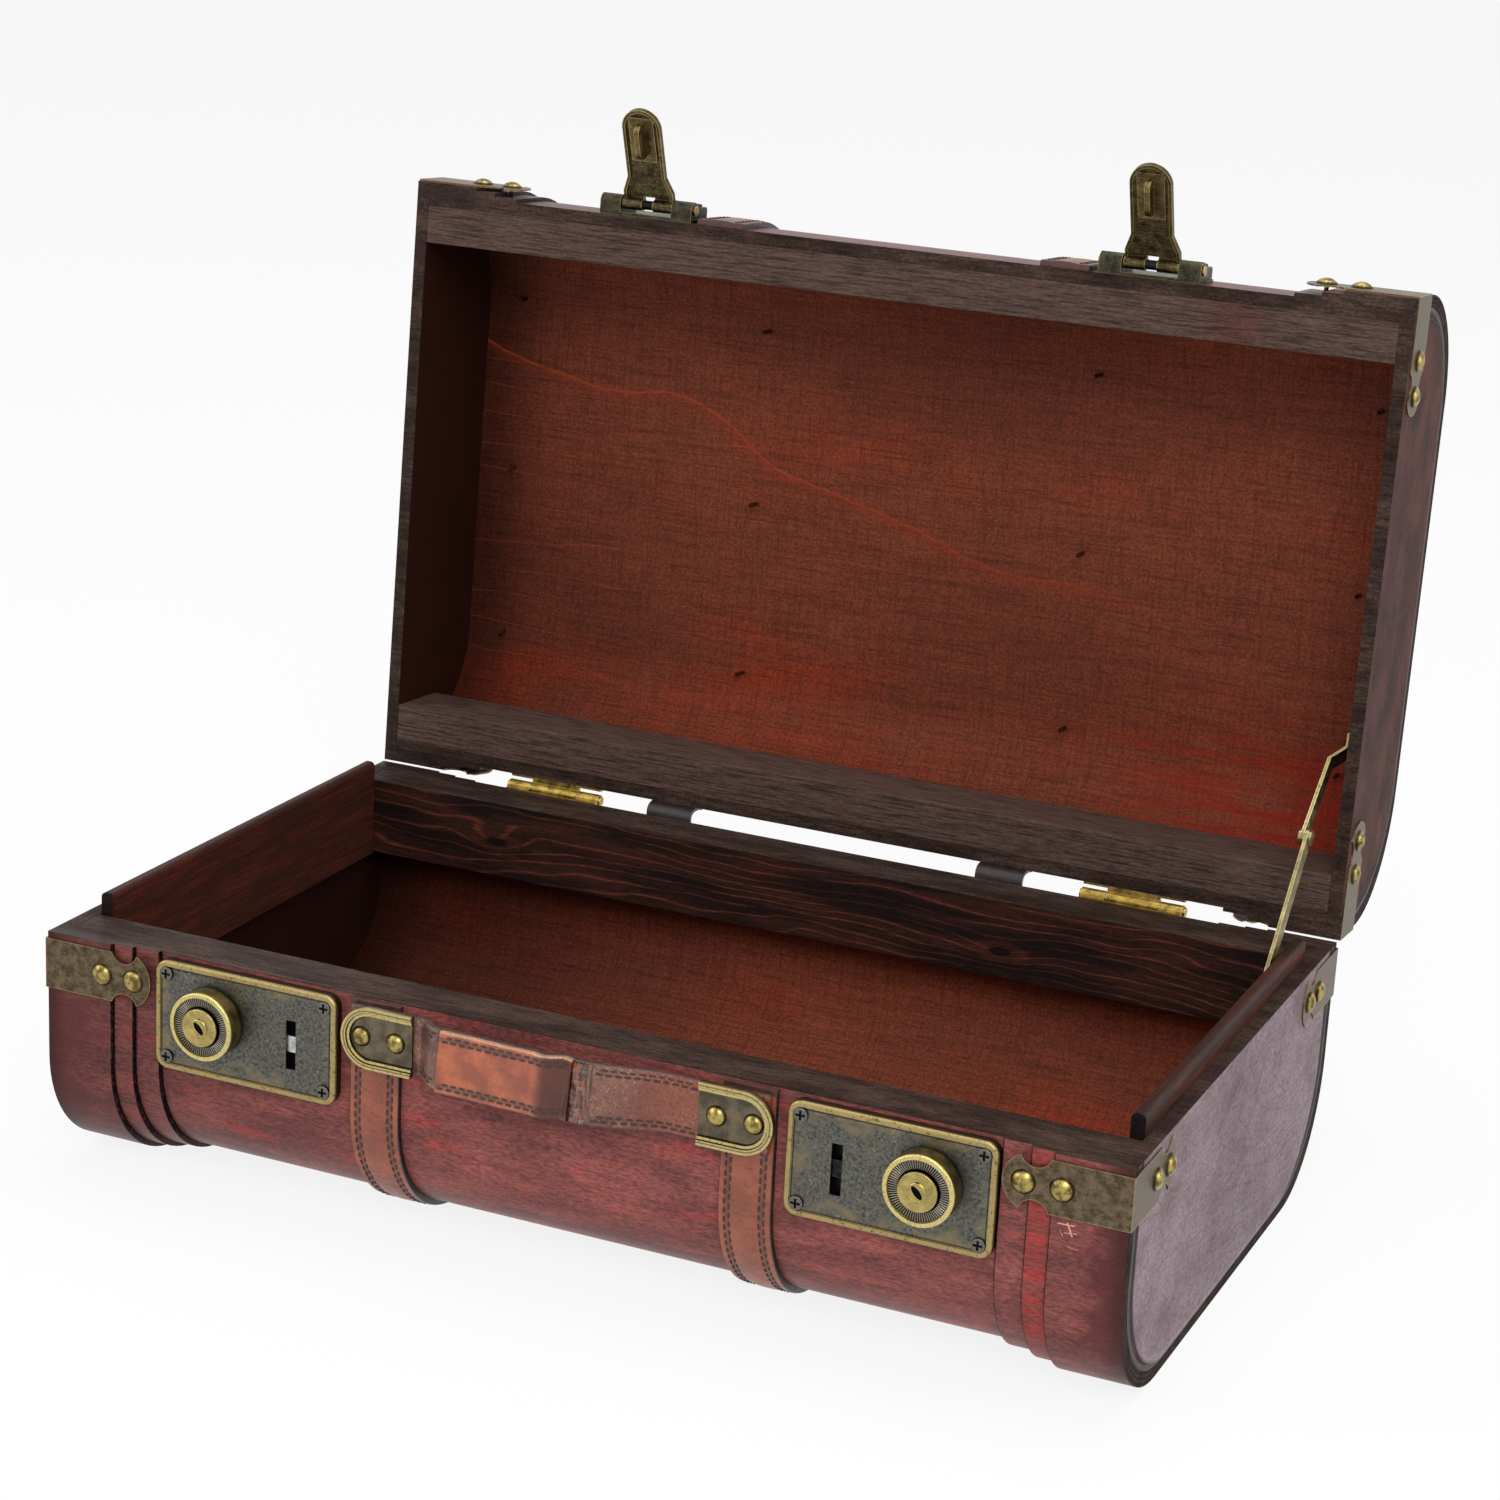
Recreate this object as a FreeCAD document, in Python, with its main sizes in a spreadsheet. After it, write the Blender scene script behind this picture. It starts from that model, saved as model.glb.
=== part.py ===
import FreeCAD, Part
import math
import os
import Sketcher

# Old style suitcase chest, standing open: two bent plywood shells with veneer bands at both ends,
# leather straps and handle, bronze corner brackets, two push locks with hasps, and a folding stay.
# Sizes are in millimetres and degrees. +X is the chest's right, +Y its back and +Z up.
# The origin is the centre of the underside, on the plane that the chest stands on.
# The lid and all that it carries are drawn shut, then swung open about the hinge line.

SIZES = [
    ("chest_length", 380, "over both end panels"),
    ("chest_depth", 223, "over the outermost bands, front to back"),
    ("base_height", 85.2, "floor to the base's rim"),
    ("lid_height", 63.4, "the lid's rim to its top"),
    ("closing_clearance", 0.3, "between the two rims, and the lid's ends and the liners"),
    ("lid_open_angle", 94.4, "from shut to the stop of the stay"),
    ("corner_radius", 41.5, "outside of the bends, the same for the plywood and each band"),
    ("drill_overrun", 2, "by which every cutter runs past a face"),
    ("running_clearance", 0.05, "all round a pin in its bore"),
    # bent plywood shells
    ("skin_thickness", 4.6, "bent plywood"),
    ("end_thickness", 5, "base end panels"),
    ("rail_thickness", 14, "rails inside the front and back walls"),
    ("rail_height", 29, "rails, down from the rim"),
    ("lid_rail_bevel_start", 17, "of the bevel that clears the lid's bend, from the rim"),
    ("lid_rail_bevel", 2, "depth of it at the rail's far edge"),
    ("liner_thickness", 4.7, "strips inside the base's ends"),
    ("liner_rise", 7.5, "of the liners above the rim"),
    ("liner_end_gap", 1.4, "between a liner and the rails"),
    ("liner_round", 1.8, "rounding of a liner's top edges"),
    # veneer bands round both ends
    ("band_thickness", 1.3, "each of the three layers"),
    ("inner_band_width", 41.8, "from the end panel's face"),
    ("middle_band_width", 32.4, "from the end panel's face"),
    ("outer_band_width", 24.7, "from the end panel's face"),
    # leather straps round the shells
    ("strap_hasp_gap", 1.9, "between a strap and a hasp's base"),
    ("strap_width", 18, ""),
    ("strap_thickness", 2.4, ""),
    ("strap_rim_gap", 0.8, "from a strap's front end to the rim"),
    ("strap_hinge_gap", 6, "from a strap's back end to the rim"),
    # corner brackets
    ("bracket_height", 17.5, ""),
    ("bracket_thickness", 0.6, ""),
    ("bracket_rim_gap", 2.2, "from the rim to the bracket"),
    ("bracket_notch_start", 25.5, "from the corner"),
    ("bracket_notch_end", 35, "from the corner"),
    ("bracket_notch_radius", 5, ""),
    ("bracket_tip_radius", 9.7, "of the rounded end"),
    ("bracket_first_nail", 21.6, "from the corner"),
    ("bracket_second_nail", 33.8, "from the corner"),
    # domed nails and rivets
    ("nail_head_radius", 4, ""),
    ("nail_head_height", 2.1, ""),
    ("nail_shank_radius", 0.8, ""),
    ("side_nail_length", 4.4, "in the brackets"),
    ("top_nail_length", 14.8, "through the lid's top, with the point showing inside"),
    ("top_nail_spacing", 66, "front to back"),
    ("top_nail_end_distance", 20, "of the nails in the bands, from the end panel's face"),
    ("nail_point_length", 2, ""),
    # lock plates
    ("lock_end_distance", 76.4, "middle of a lock from the end panel's face"),
    ("lock_width", 68.5, ""),
    ("lock_height", 38, ""),
    ("lock_rim_gap", 1.4, "from the rim to a lock plate"),
    ("lock_depth", 4, "of the dished plate"),
    ("lock_wall", 0.6, "sheet of the plate"),
    ("lock_border_width", 1.8, "raised all round"),
    ("lock_border_height", 0.4, ""),
    ("lock_corner_radius", 4.5, ""),
    ("lock_edge_round", 0.8, ""),
    ("lock_screw_inset", 4.4, "from the plate's edges"),
    ("screw_head_radius", 2.4, ""),
    ("screw_head_height", 0.9, ""),
    ("screw_shank_radius", 1.2, ""),
    ("screw_slot_width", 0.8, ""),
    ("screw_slot_reach", 1.6, ""),
    ("screw_bite", 3.6, "of a screw in the plywood"),
    ("hasp_slot_width", 3.7, ""),
    ("hasp_slot_height", 17, ""),
    ("hasp_offset", 17.4, "of a hasp and its slot, inwards from the lock's middle"),
    ("hasp_slot_drop", 21.3, "from the rim to the slot's middle"),
    # lock knobs, plugs and bolts
    ("knob_offset", 12.2, "outwards from the lock's middle"),
    ("knob_drop", 18.7, "from the rim to the knob's middle"),
    ("knob_radius", 11.7, ""),
    ("knob_height", 7.6, ""),
    ("knob_rim_width", 1.6, ""),
    ("knob_edge_round", 0.6, ""),
    ("knob_dish_depth", 0.7, "of the knurled ring below the rim"),
    ("knob_travel", 5, "outwards, to free the hasp"),
    ("knob_gap", 0.2, "between knob and plate"),
    ("stem_radius", 3.2, "of the knob's stem"),
    ("stem_flat_gap", 0.15, "between the stem and the sides of its slot"),
    ("stem_reach", 3.3, "from the knob's back to the stem's end"),
    ("plug_radius", 6.5, ""),
    ("plug_proud", 0.8, "beyond the knob's rim"),
    ("plug_length", 6.6, ""),
    ("plug_edge_round", 0.4, ""),
    ("key_slot_width", 1.3, ""),
    ("key_slot_height", 7, ""),
    ("key_slot_depth", 4, ""),
    ("bolt_thickness", 1.2, ""),
    ("bolt_height", 5.5, ""),
    ("bolt_reach", 2.4, "of the bolt's nose past the slot's middle, at rest"),
    ("bolt_tail", 6, "each way from the knob's middle"),
    ("bolt_tail_height", 10.5, "up from the bolt's lower edge"),
    ("bolt_back_gap", 1.4, "between the bolt and the plywood"),
    ("lock_spring_radius", 0.9, ""),
    ("lock_spring_wire", 0.3, ""),
    # handle
    ("clip_strap_overlap", 15.4, "from a clip's inner end to the middle of the strap below it"),
    ("clip_length", 25.5, ""),
    ("clip_height", 21, ""),
    ("clip_rim_gap", 1.2, "from the rim to a clip"),
    ("clip_thickness", 1, ""),
    ("clip_ridge_width", 1.7, "of the outer ridge, which follows the edge"),
    ("clip_ridge_height", 1.3, ""),
    ("clip_inner_ridge_start", 2, "of the inner ridge, from the edge"),
    ("clip_inner_ridge_width", 0.9, ""),
    ("clip_inner_ridge_height", 0.8, ""),
    ("rivet_first", 6, "from a clip's inner end"),
    ("rivet_second", 18.6, "from a clip's inner end"),
    ("rivet_head_radius", 3.5, ""),
    ("rivet_head_height", 2, ""),
    ("rivet_length", 8.4, ""),
    ("handle_width", 19.6, "of the leather"),
    ("handle_thickness", 2, ""),
    ("handle_bulge", 6, "of the leather, out from the clips"),
    ("handle_left_bend_share", 0.774, "where it stands out, of the way from middle to clip"),
    ("handle_right_bend_share", 0.278, "where it starts back, of the same way"),
    ("handle_bend_run_share", 0.179, "run of the left bend along the chest, of the same way"),
    ("handle_right_run_share", 0.536, "run of the right slope along the chest, of the same way"),
    ("handle_tail_gap", 2.5, "from the leather's end to a clip's round end"),
    ("sleeve_thickness", 2, "of the second layer over the handle's left half"),
    ("sleeve_inset", 2, "from the left bend's end"),
    ("sleeve_round", 1.5, "of the sleeve's ends"),
    # barrel hinges
    ("hinge_end_distance", 74.6, "middle of a hinge from the end panel's face"),
    ("hinge_length", 38, ""),
    ("hinge_setback", 0.4, "of the hinge line behind the outermost band"),
    ("hinge_barrel_radius", 2.3, ""),
    ("hinge_web_height", 1.6, "of the leaf's flange that carries a knuckle"),
    ("hinge_pin_radius", 1.1, ""),
    ("pin_head_radius", 1.7, "of hinge and hasp pins"),
    ("pin_head_height", 0.6, ""),
    ("pin_end_gap", 0.1, "between a pin's head and the knuckle"),
    ("hinge_leaf_thickness", 0.8, ""),
    ("hinge_leaf_height", 17, "away from the hinge line"),
    ("hinge_middle_length", 19.6, "of the knuckle on the lid's leaf"),
    ("hinge_knuckle_gap", 0.2, ""),
    ("hinge_screw_inset", 7, "from a leaf's ends"),
    ("hinge_screw_drop", 11, "from the hinge line"),
    # strap folds at the hinge line
    ("fold_thickness", 1.6, "leather at the hinge line"),
    ("fold_radius", 1, "inside radius of the fold"),
    # hasps on the lid
    ("hasp_open_angle", 66.6, "from hanging shut to the spring's stop"),
    ("hasp_pivot_rise", 4.2, "of the pivot above the lid's rim"),
    ("hasp_pivot_out", 4.4, "of the pivot in front of the plywood"),
    ("hasp_pin_radius", 0.9, ""),
    ("hasp_barrel_radius", 2.2, ""),
    ("hasp_base_width", 39, ""),
    ("hasp_base_height", 15, ""),
    ("hasp_base_thickness", 1.2, ""),
    ("hasp_base_rim_gap", 1.2, ""),
    ("hasp_base_round", 3.5, ""),
    ("hasp_block_inset", 1.1, "of the raised ends from the base's edges"),
    ("hasp_block_height", 5.4, "of the raised ends above the plywood"),
    ("hasp_block_slope", 5, "run of the slope from the pivot down to that height"),
    ("hasp_block_edge_round", 1.5, ""),
    ("hasp_lug_gap", 0.3, "between a lug and the leaf"),
    ("hasp_lug_radius", 3, ""),
    ("hasp_screw_inset", 4.5, "from the base's ends"),
    ("hasp_screw_rise", 12, "above the lid's rim"),
    ("hasp_leaf_width", 19.8, "at the pivot"),
    ("hasp_leaf_waist", 15, ""),
    ("hasp_leaf_length", 37.5, "from the pivot"),
    ("hasp_leaf_thickness", 1.2, ""),
    ("hasp_leaf_shoulder", 5, "where the full width ends, from the pivot"),
    ("hasp_leaf_neck", 11, "where the waist starts, from the pivot"),
    ("hasp_leaf_edge", 1.2, "width of the raised border"),
    ("hasp_leaf_edge_height", 0.9, ""),
    ("hasp_spring_length", 4, ""),
    ("hasp_spring_radius", 1.8, ""),
    ("hasp_spring_gap", 0.1, "at each end of the spring"),
    ("hasp_spring_wire", 0.6, ""),
    ("tongue_thickness", 2, ""),
    ("tongue_length", 13, "along the leaf"),
    ("tongue_round", 3, "of the tongue's outer corners"),
    ("tongue_reach", 5, "from the leaf's inner face"),
    ("tongue_plate_length", 17, "along the leaf, riveted flat to it"),
    ("tongue_plate_width", 10, ""),
    ("tongue_plate_thickness", 0.5, ""),
    ("tongue_window_length", 7, "for the bolt, along the leaf"),
    ("tongue_window_depth", 1.8, ""),
    ("tongue_tip_depth", 0.7, "of metal beyond the window"),
    # folding stay on the right
    ("stay_base_pivot_reach", 54.9, "in front of the hinge line"),
    ("stay_base_pivot_drop", 3, "below the base's rim"),
    ("stay_lid_pivot_reach", 67.9, "in front of the hinge line, with the lid shut"),
    ("stay_lid_pivot_rise", 18, "above the lid's rim, with the lid shut"),
    ("stay_lower_length", 60, "between pivots"),
    ("stay_upper_length", 45, "between pivots"),
    ("stay_bar_width", 6.4, ""),
    ("stay_bar_thickness", 1.2, ""),
    ("stay_liner_gap", 0.5, "between the lower bar and the liner"),
    ("stay_bar_gap", 0.2, "between the two bars"),
    ("stay_joggle", 4.6, "of the upper bar's far end towards the lid's end panel"),
    ("stay_joggle_run", 6, "length of the joggle's slope"),
    ("stay_joggle_flat", 6, "length beyond the slope, short of the pivot"),
    ("stay_rivet_radius", 1.5, ""),
    ("stay_rivet_head_radius", 2.7, ""),
    ("stay_rivet_head_height", 0.8, ""),
    ("rivet_bite_share", 0.66, "of the wood's thickness taken by a stay's rivet"),
    ("stay_stud_gap", 0.2, "between the lid's stud and the upper bar"),
    ("stay_stud_radius", 2.6, ""),
    ("stay_bar_end_round", 2.9, "of the upper bar's corners"),
]

doc = FreeCAD.newDocument("suitcase_chest")
sheet = doc.addObject("Spreadsheet::Sheet", "sizes")
for row, (alias, value, note) in enumerate(SIZES, start=1):
    sheet.set("A%d" % row, alias)
    sheet.set("B%d" % row, str(value))
    sheet.setAlias("B%d" % row, alias)
    sheet.set("C%d" % row, note)
doc.recompute()


class Length:
    """A size: its value now, and the expression over the sheet that gives it."""

    def __init__(self, value, text):
        self.value = value
        self.text = text

    def joined(self, sign, other, value):
        return Length(value, "(%s %s %s)" % (self.text, sign, wording(other)))

    def __add__(self, other):
        return self.joined("+", other, self.value + amount(other))

    def __sub__(self, other):
        return self.joined("-", other, self.value - amount(other))

    def __radd__(self, other):
        return self + other

    def __rsub__(self, other):
        return -self + other

    def __mul__(self, other):
        return self.joined("*", other, self.value * amount(other))

    def __truediv__(self, other):
        return self.joined("/", other, self.value / amount(other))

    def __neg__(self):
        return Length(-self.value, "(-%s)" % self.text)


def amount(size):
    """The value of a length, or of a plain number."""
    return size.value if isinstance(size, Length) else float(size)


def wording(size):
    """The expression of a length, or of a plain number."""
    return size.text if isinstance(size, Length) else repr(float(size))


class Sheet:
    """Reads each alias of the sheet as a length."""

    def __getattr__(self, alias):
        return Length(float(sheet.get(alias)), "sizes." + alias)


s = Sheet()
UP = FreeCAD.Vector(0, 0, 1)
SIDEWAYS = FreeCAD.Vector(1, 0, 0)
BACKWARDS = FreeCAD.Vector(0, 1, 0)
QUARTER_TURN = 90
FULL_TURN = 360

pockets = []
nodes = []


def bind(thing, name, size):
    """Binds a property of an object, or a constraint of a sketch, to the sheet."""
    if isinstance(size, Length):
        thing.setExpression(name, size.text)


def arc_between(first, last, radius):
    """A short arc: a positive radius turns left on the way from first to last, a negative one right."""
    start = FreeCAD.Vector(amount(first[0]), amount(first[1]), 0)
    end = FreeCAD.Vector(amount(last[0]), amount(last[1]), 0)
    size = abs(amount(radius))
    chord = end - start
    left = FreeCAD.Vector(-chord.y, chord.x, 0).normalize()
    side = 1 if amount(radius) > 0 else -1
    middle = (start + end) / 2
    centre = middle + left * side * math.sqrt(size ** 2 - (chord.Length / 2) ** 2)
    ends = (start, end) if side > 0 else (end, start)
    angles = [math.atan2(point.y - centre.y, point.x - centre.x) for point in ends]
    return Part.ArcOfCircle(Part.Circle(centre, UP, size), angles[0], angles[1])


def outline(body, name, plane, offset, path):
    """A closed sketch. Each step of the path is (across, up), or (across, up, radius) after an arc."""
    sketch = body.newObject("Sketcher::SketchObject", name)
    role = plane + "_Plane"
    origin_plane = [item for item in body.Origin.OriginFeatures if item.Role == role][0]
    sketch.AttachmentSupport = [(origin_plane, "")]
    sketch.MapMode = "FlatFace"
    sketch.AttachmentOffset = FreeCAD.Placement(FreeCAD.Vector(0, 0, amount(offset)), FreeCAD.Rotation())
    bind(sketch, ".AttachmentOffset.Base.z", offset)
    runs = []
    for index, step in enumerate(path):
        before = path[index - 1]
        if len(step) == 3:
            geometry = sketch.addGeometry(arc_between(before, step, step[2]), False)
            runs.append((geometry, 1, 2) if amount(step[2]) > 0 else (geometry, 2, 1))
            size = step[2] if amount(step[2]) > 0 else -step[2]
            constraint = sketch.addConstraint(Sketcher.Constraint("Radius", geometry, amount(size)))
            bind(sketch, "Constraints[%d]" % constraint, size)
        else:
            start = FreeCAD.Vector(amount(before[0]), amount(before[1]), 0)
            end = FreeCAD.Vector(amount(step[0]), amount(step[1]), 0)
            runs.append((sketch.addGeometry(Part.LineSegment(start, end), False), 1, 2))
    for index, (geometry, first, last) in enumerate(runs):
        following = runs[(index + 1) % len(runs)]
        sketch.addConstraint(Sketcher.Constraint("Coincident", geometry, last, following[0], following[1]))
        for kind, size in (("DistanceX", path[index][0]), ("DistanceY", path[index][1])):
            measure = Sketcher.Constraint(kind, -1, 1, geometry, last, amount(size))
            constraint = sketch.addConstraint(measure)
            bind(sketch, "Constraints[%d]" % constraint, size)
    return sketch


def new_body(name):
    return doc.addObject("PartDesign::Body", name)


def slab(body, kind, plane, low, high, path):
    """Pads or pockets an outline between two levels along the axis that the plane faces."""
    count = len(body.Group)
    offset = -high if plane == "XZ" else low
    sketch = outline(body, "%s_outline_%d" % (body.Name, count), plane, offset, path)
    feature = body.newObject("PartDesign::" + kind, "%s_%s_%d" % (body.Name, kind.lower(), count))
    feature.Profile = sketch
    feature.Length = amount(high - low)
    bind(feature, "Length", high - low)
    if kind == "Pocket":
        feature.Reversed = True
        pockets.append(feature)
    return feature


def padded(name, plane, low, high, path):
    body = new_body(name)
    slab(body, "Pad", plane, low, high, path)
    return body


def rectangle(low_across, high_across, low_up, high_up):
    return [(low_across, low_up), (high_across, low_up), (high_across, high_up), (low_across, high_up)]


def turned(name, path):
    """A body of revolution about its own Z axis. The path is (radius, height)."""
    body = new_body(name)
    sketch = outline(body, name + "_outline", "XZ", 0, path)
    feature = body.newObject("PartDesign::Revolution", name + "_turned")
    feature.Profile = sketch
    feature.ReferenceAxis = (sketch, ["V_Axis"])
    feature.Angle = FULL_TURN
    return body


def mirrored(source, name):
    """The left-hand twin of a right-hand piece."""
    twin = doc.addObject("Part::Mirroring", name)
    twin.Source = source
    twin.Normal = SIDEWAYS
    return twin


def grouped(name, pieces):
    group = doc.addObject("Part::Compound", name)
    group.Links = pieces
    return group


def copies(name, master, places):
    """One group of like pieces, each a link to the master at its own place."""
    links = []
    for index, place in enumerate(places):
        link = doc.addObject("App::Link", "%s_%d" % (name, index + 1))
        link.LinkedObject = master
        link.Placement = place
        links.append(link)
    return grouped(name, links)


def cut(name, base, tool):
    result = doc.addObject("Part::Cut", name)
    result.Base = base
    result.Tool = tool
    return result


def node(piece, label, place=FreeCAD.Placement()):
    """Names a finished piece, puts it in its place and lists it for export."""
    piece.Label = label
    piece.Placement = place
    nodes.append(piece)
    return piece


def node_pair(piece, label, place=FreeCAD.Placement()):
    """A right-hand piece, and its left-hand twin, which mirrors it where it stands."""
    node(piece, label + "_right", place)
    node(mirrored(piece, label + "_twin"), label + "_left")


FACING = {
    "front": FreeCAD.Rotation(SIDEWAYS, QUARTER_TURN),
    "back": FreeCAD.Rotation(SIDEWAYS, -QUARTER_TURN),
    "right": FreeCAD.Rotation(BACKWARDS, QUARTER_TURN),
    "left": FreeCAD.Rotation(BACKWARDS, -QUARTER_TURN),
    "up": FreeCAD.Rotation(),
}


def spot(across, back, up, facing="up"):
    """A place, with the piece's own Z axis facing the way that is named."""
    return FreeCAD.Placement(FreeCAD.Vector(amount(across), amount(back), amount(up)), FACING[facing])


def swing(angle, back, up):
    """A turn about a line along X, that lifts what lies in front of the line."""
    centre = FreeCAD.Vector(0, amount(back), amount(up))
    return FreeCAD.Placement(FreeCAD.Vector(0, 0, 0), FreeCAD.Rotation(SIDEWAYS, -amount(angle)), centre)


# Levels and faces that the pieces share
half_length = s.chest_length / 2
half_depth = s.chest_depth / 2
bands_depth = s.band_thickness * 3
skin_face = half_depth - bands_depth
wood_face = skin_face - s.skin_thickness
rail_face = wood_face - s.rail_thickness
rim = s.base_height
lid_rim = rim + s.closing_clearance
lid_top = lid_rim + s.lid_height
floor_level = bands_depth + s.skin_thickness
end_face = half_length - s.end_thickness
hinge_back = half_depth + s.hinge_setback
hinge_level = rim + s.closing_clearance / 2
lock_place = half_length - s.lock_end_distance
knob_place = lock_place + s.knob_offset
hasp_place = lock_place - s.hasp_offset
strap_place = hasp_place - s.hasp_base_width / 2 - s.strap_hasp_gap - s.strap_width / 2
clip_inner_end = strap_place - s.clip_strap_overlap
hinge_place = half_length - s.hinge_end_distance
lid_swing = swing(s.lid_open_angle, hinge_back, hinge_level)


def shell_strip(name, low, high, inset, thickness, rounds, is_lid, front_gap, back_gap):
    """A strip bent round the front, bottom and back of the base, or the front, top and back of the lid."""
    turn = -1 if is_lid else 1
    outer = half_depth - inset
    inner = outer - thickness
    outer_round, inner_round = rounds
    if is_lid:
        edge, outer_level, inner_level = lid_rim, lid_top - inset, lid_top - inset - thickness
        front_edge, back_edge = edge + front_gap, edge + back_gap
        outer_bend, inner_bend = outer_level - outer_round, inner_level - inner_round
    else:
        edge, outer_level, inner_level = rim, inset, inset + thickness
        front_edge, back_edge = edge - front_gap, edge - back_gap
        outer_bend, inner_bend = outer_level + outer_round, inner_level + inner_round
    path = [
        (-outer, front_edge),
        (-outer, outer_bend),
        (outer_round - outer, outer_level, outer_round * turn),
        (outer - outer_round, outer_level),
        (outer, outer_bend, outer_round * turn),
        (outer, back_edge),
        (inner, back_edge),
        (inner, inner_bend),
        (inner - inner_round, inner_level, inner_round * -turn),
        (inner_round - inner, inner_level),
        (-inner, inner_bend, inner_round * -turn),
        (-inner, front_edge),
    ]
    return padded(name, "YZ", low, high, path)


skin_rounds = (s.corner_radius, s.corner_radius - s.skin_thickness)


def end_panel(name, low, high, is_lid):
    """A flat panel that closes one end, inside the bent skin."""
    round_size = skin_rounds[1]
    turn = -1 if is_lid else 1
    level = lid_top - floor_level if is_lid else floor_level
    bend = level - round_size if is_lid else level + round_size
    edge = lid_rim if is_lid else rim
    path = [
        (-wood_face, edge),
        (-wood_face, bend),
        (round_size - wood_face, level, round_size * turn),
        (wood_face - round_size, level),
        (wood_face, bend, round_size * turn),
        (wood_face, edge),
    ]
    return padded(name, "YZ", low, high, path)


def dome_nail(name, head_radius, head_height, shank_radius, length, point):
    """A domed head on a shank, with a point where the shank is long enough to show one."""
    dome = (head_radius * head_radius + head_height * head_height) / (head_height * 2)
    path = [
        (0, -length),
        (shank_radius, point - length),
        (shank_radius, 0),
        (head_radius, 0),
        (0, head_height, dome),
    ]
    return turned(name, path)


def drill(name, radius, depth):
    """A cutter along its own Z axis, from above the surface down to the depth."""
    path = rectangle(0, radius, -depth, s.drill_overrun)
    return turned(name, path)


def cross_screw(name, head_radius, head_height, shank_radius, length):
    """A pan head screw with a crossed slot."""
    path = [
        (0, -length),
        (shank_radius, -length),
        (shank_radius, 0),
        (head_radius, 0),
        (head_radius, head_height / 2),
        (head_radius - head_height / 2, head_height, head_height / 2),
        (0, head_height),
    ]
    body = turned(name, path)
    reach, half_slot = s.screw_slot_reach, s.screw_slot_width / 2
    cross = [
        (-half_slot, -reach), (half_slot, -reach), (half_slot, -half_slot), (reach, -half_slot),
        (reach, half_slot), (half_slot, half_slot), (half_slot, reach), (-half_slot, reach),
        (-half_slot, half_slot), (-reach, half_slot), (-reach, -half_slot), (-half_slot, -half_slot),
    ]
    slab(body, "Pocket", "XY", head_height / 3, head_height + s.drill_overrun, cross)
    return body


def rounded_edges(body, name, radius, wanted):
    """Rounds the edges of a body that a test picks out."""
    doc.recompute()
    tip = body.Tip
    picked = ["Edge%d" % number for number, edge in enumerate(tip.Shape.Edges, start=1) if wanted(edge)]
    fillet = body.newObject("PartDesign::Fillet", name)
    fillet.Base = (tip, picked)
    fillet.Radius = amount(radius)
    bind(fillet, "Radius", radius)
    return fillet


def rounded_rectangle(low_across, high_across, low_up, high_up, radius):
    return [
        (low_across + radius, low_up, radius),
        (high_across - radius, low_up),
        (high_across, low_up + radius, radius),
        (high_across, high_up - radius),
        (high_across - radius, high_up, radius),
        (low_across + radius, high_up),
        (low_across, high_up - radius, radius),
        (low_across, low_up + radius),
    ]


def long_hole(first_across, last_across, level, radius):
    """A slot with round ends, or a bar's outline, along the first axis of its plane."""
    return [
        (first_across, level - radius, radius),
        (last_across, level - radius),
        (last_across + radius, level, radius),
        (last_across, level + radius, radius),
        (first_across, level + radius),
        (first_across - radius, level, radius),
    ]


def circle(across, up, radius):
    return [
        (across + radius, up, radius),
        (across, up + radius, radius),
        (across - radius, up, radius),
        (across, up - radius, radius),
    ]


# Corner brackets: sheet bronze folded round a corner, each leg ending in a fishtail with two nails
def bracket_leg(side):
    half_height = s.bracket_height / 2
    return [
        (s.bracket_thickness * -side, -half_height),
        (s.bracket_notch_start * side, -half_height),
        (s.bracket_notch_end * side, -half_height, s.bracket_notch_radius * -side),
        (s.bracket_notch_end * side, half_height, s.bracket_tip_radius * side),
        (s.bracket_notch_start * side, half_height, s.bracket_notch_radius * -side),
        (s.bracket_thickness * -side, half_height),
    ]


def corner_brackets(name, level):
    """Four brackets, the master's corner turned to each corner of the chest in turn."""
    places = []
    for turns, across, back in ((0, 1, -1), (1, 1, 1), (2, -1, 1), (3, -1, -1)):
        corner = FreeCAD.Vector(amount(half_length) * across, amount(half_depth) * back, amount(level))
        places.append(FreeCAD.Placement(corner, FreeCAD.Rotation(UP, QUARTER_TURN * turns)))
    return copies(name, bracket, places)


def bracket_nail_places(level):
    places = []
    for distance in (s.bracket_first_nail, s.bracket_second_nail):
        for side, end_facing in ((1, "right"), (-1, "left")):
            for way, wall_facing in ((-1, "front"), (1, "back")):
                along = (half_length - distance) * side
                wall = (half_depth + s.bracket_thickness) * way
                places.append(spot(along, wall, level, wall_facing))
                end = (half_length + s.bracket_thickness) * side
                across = (half_depth - distance) * way
                places.append(spot(end, across, level, end_facing))
    return places


bracket = padded("corner_bracket", "XZ", -s.bracket_thickness, 0, bracket_leg(-1))
slab(bracket, "Pad", "YZ", 0, s.bracket_thickness, bracket_leg(1))
base_bracket_level = rim - s.bracket_rim_gap - s.bracket_height / 2
lid_bracket_level = lid_rim + s.bracket_rim_gap + s.bracket_height / 2
side_nail = dome_nail("side_nail", s.nail_head_radius, s.nail_head_height, s.nail_shank_radius,
                      s.side_nail_length, 0)
side_nail_drill = drill("side_nail_drill", s.nail_shank_radius + s.running_clearance, s.side_nail_length)
base_nail_places = bracket_nail_places(base_bracket_level)
lid_nail_places = bracket_nail_places(lid_bracket_level)
base_nail_drills = copies("base_nail_drills", side_nail_drill, base_nail_places)
lid_nail_drills = copies("lid_nail_drills", side_nail_drill, lid_nail_places)
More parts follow.
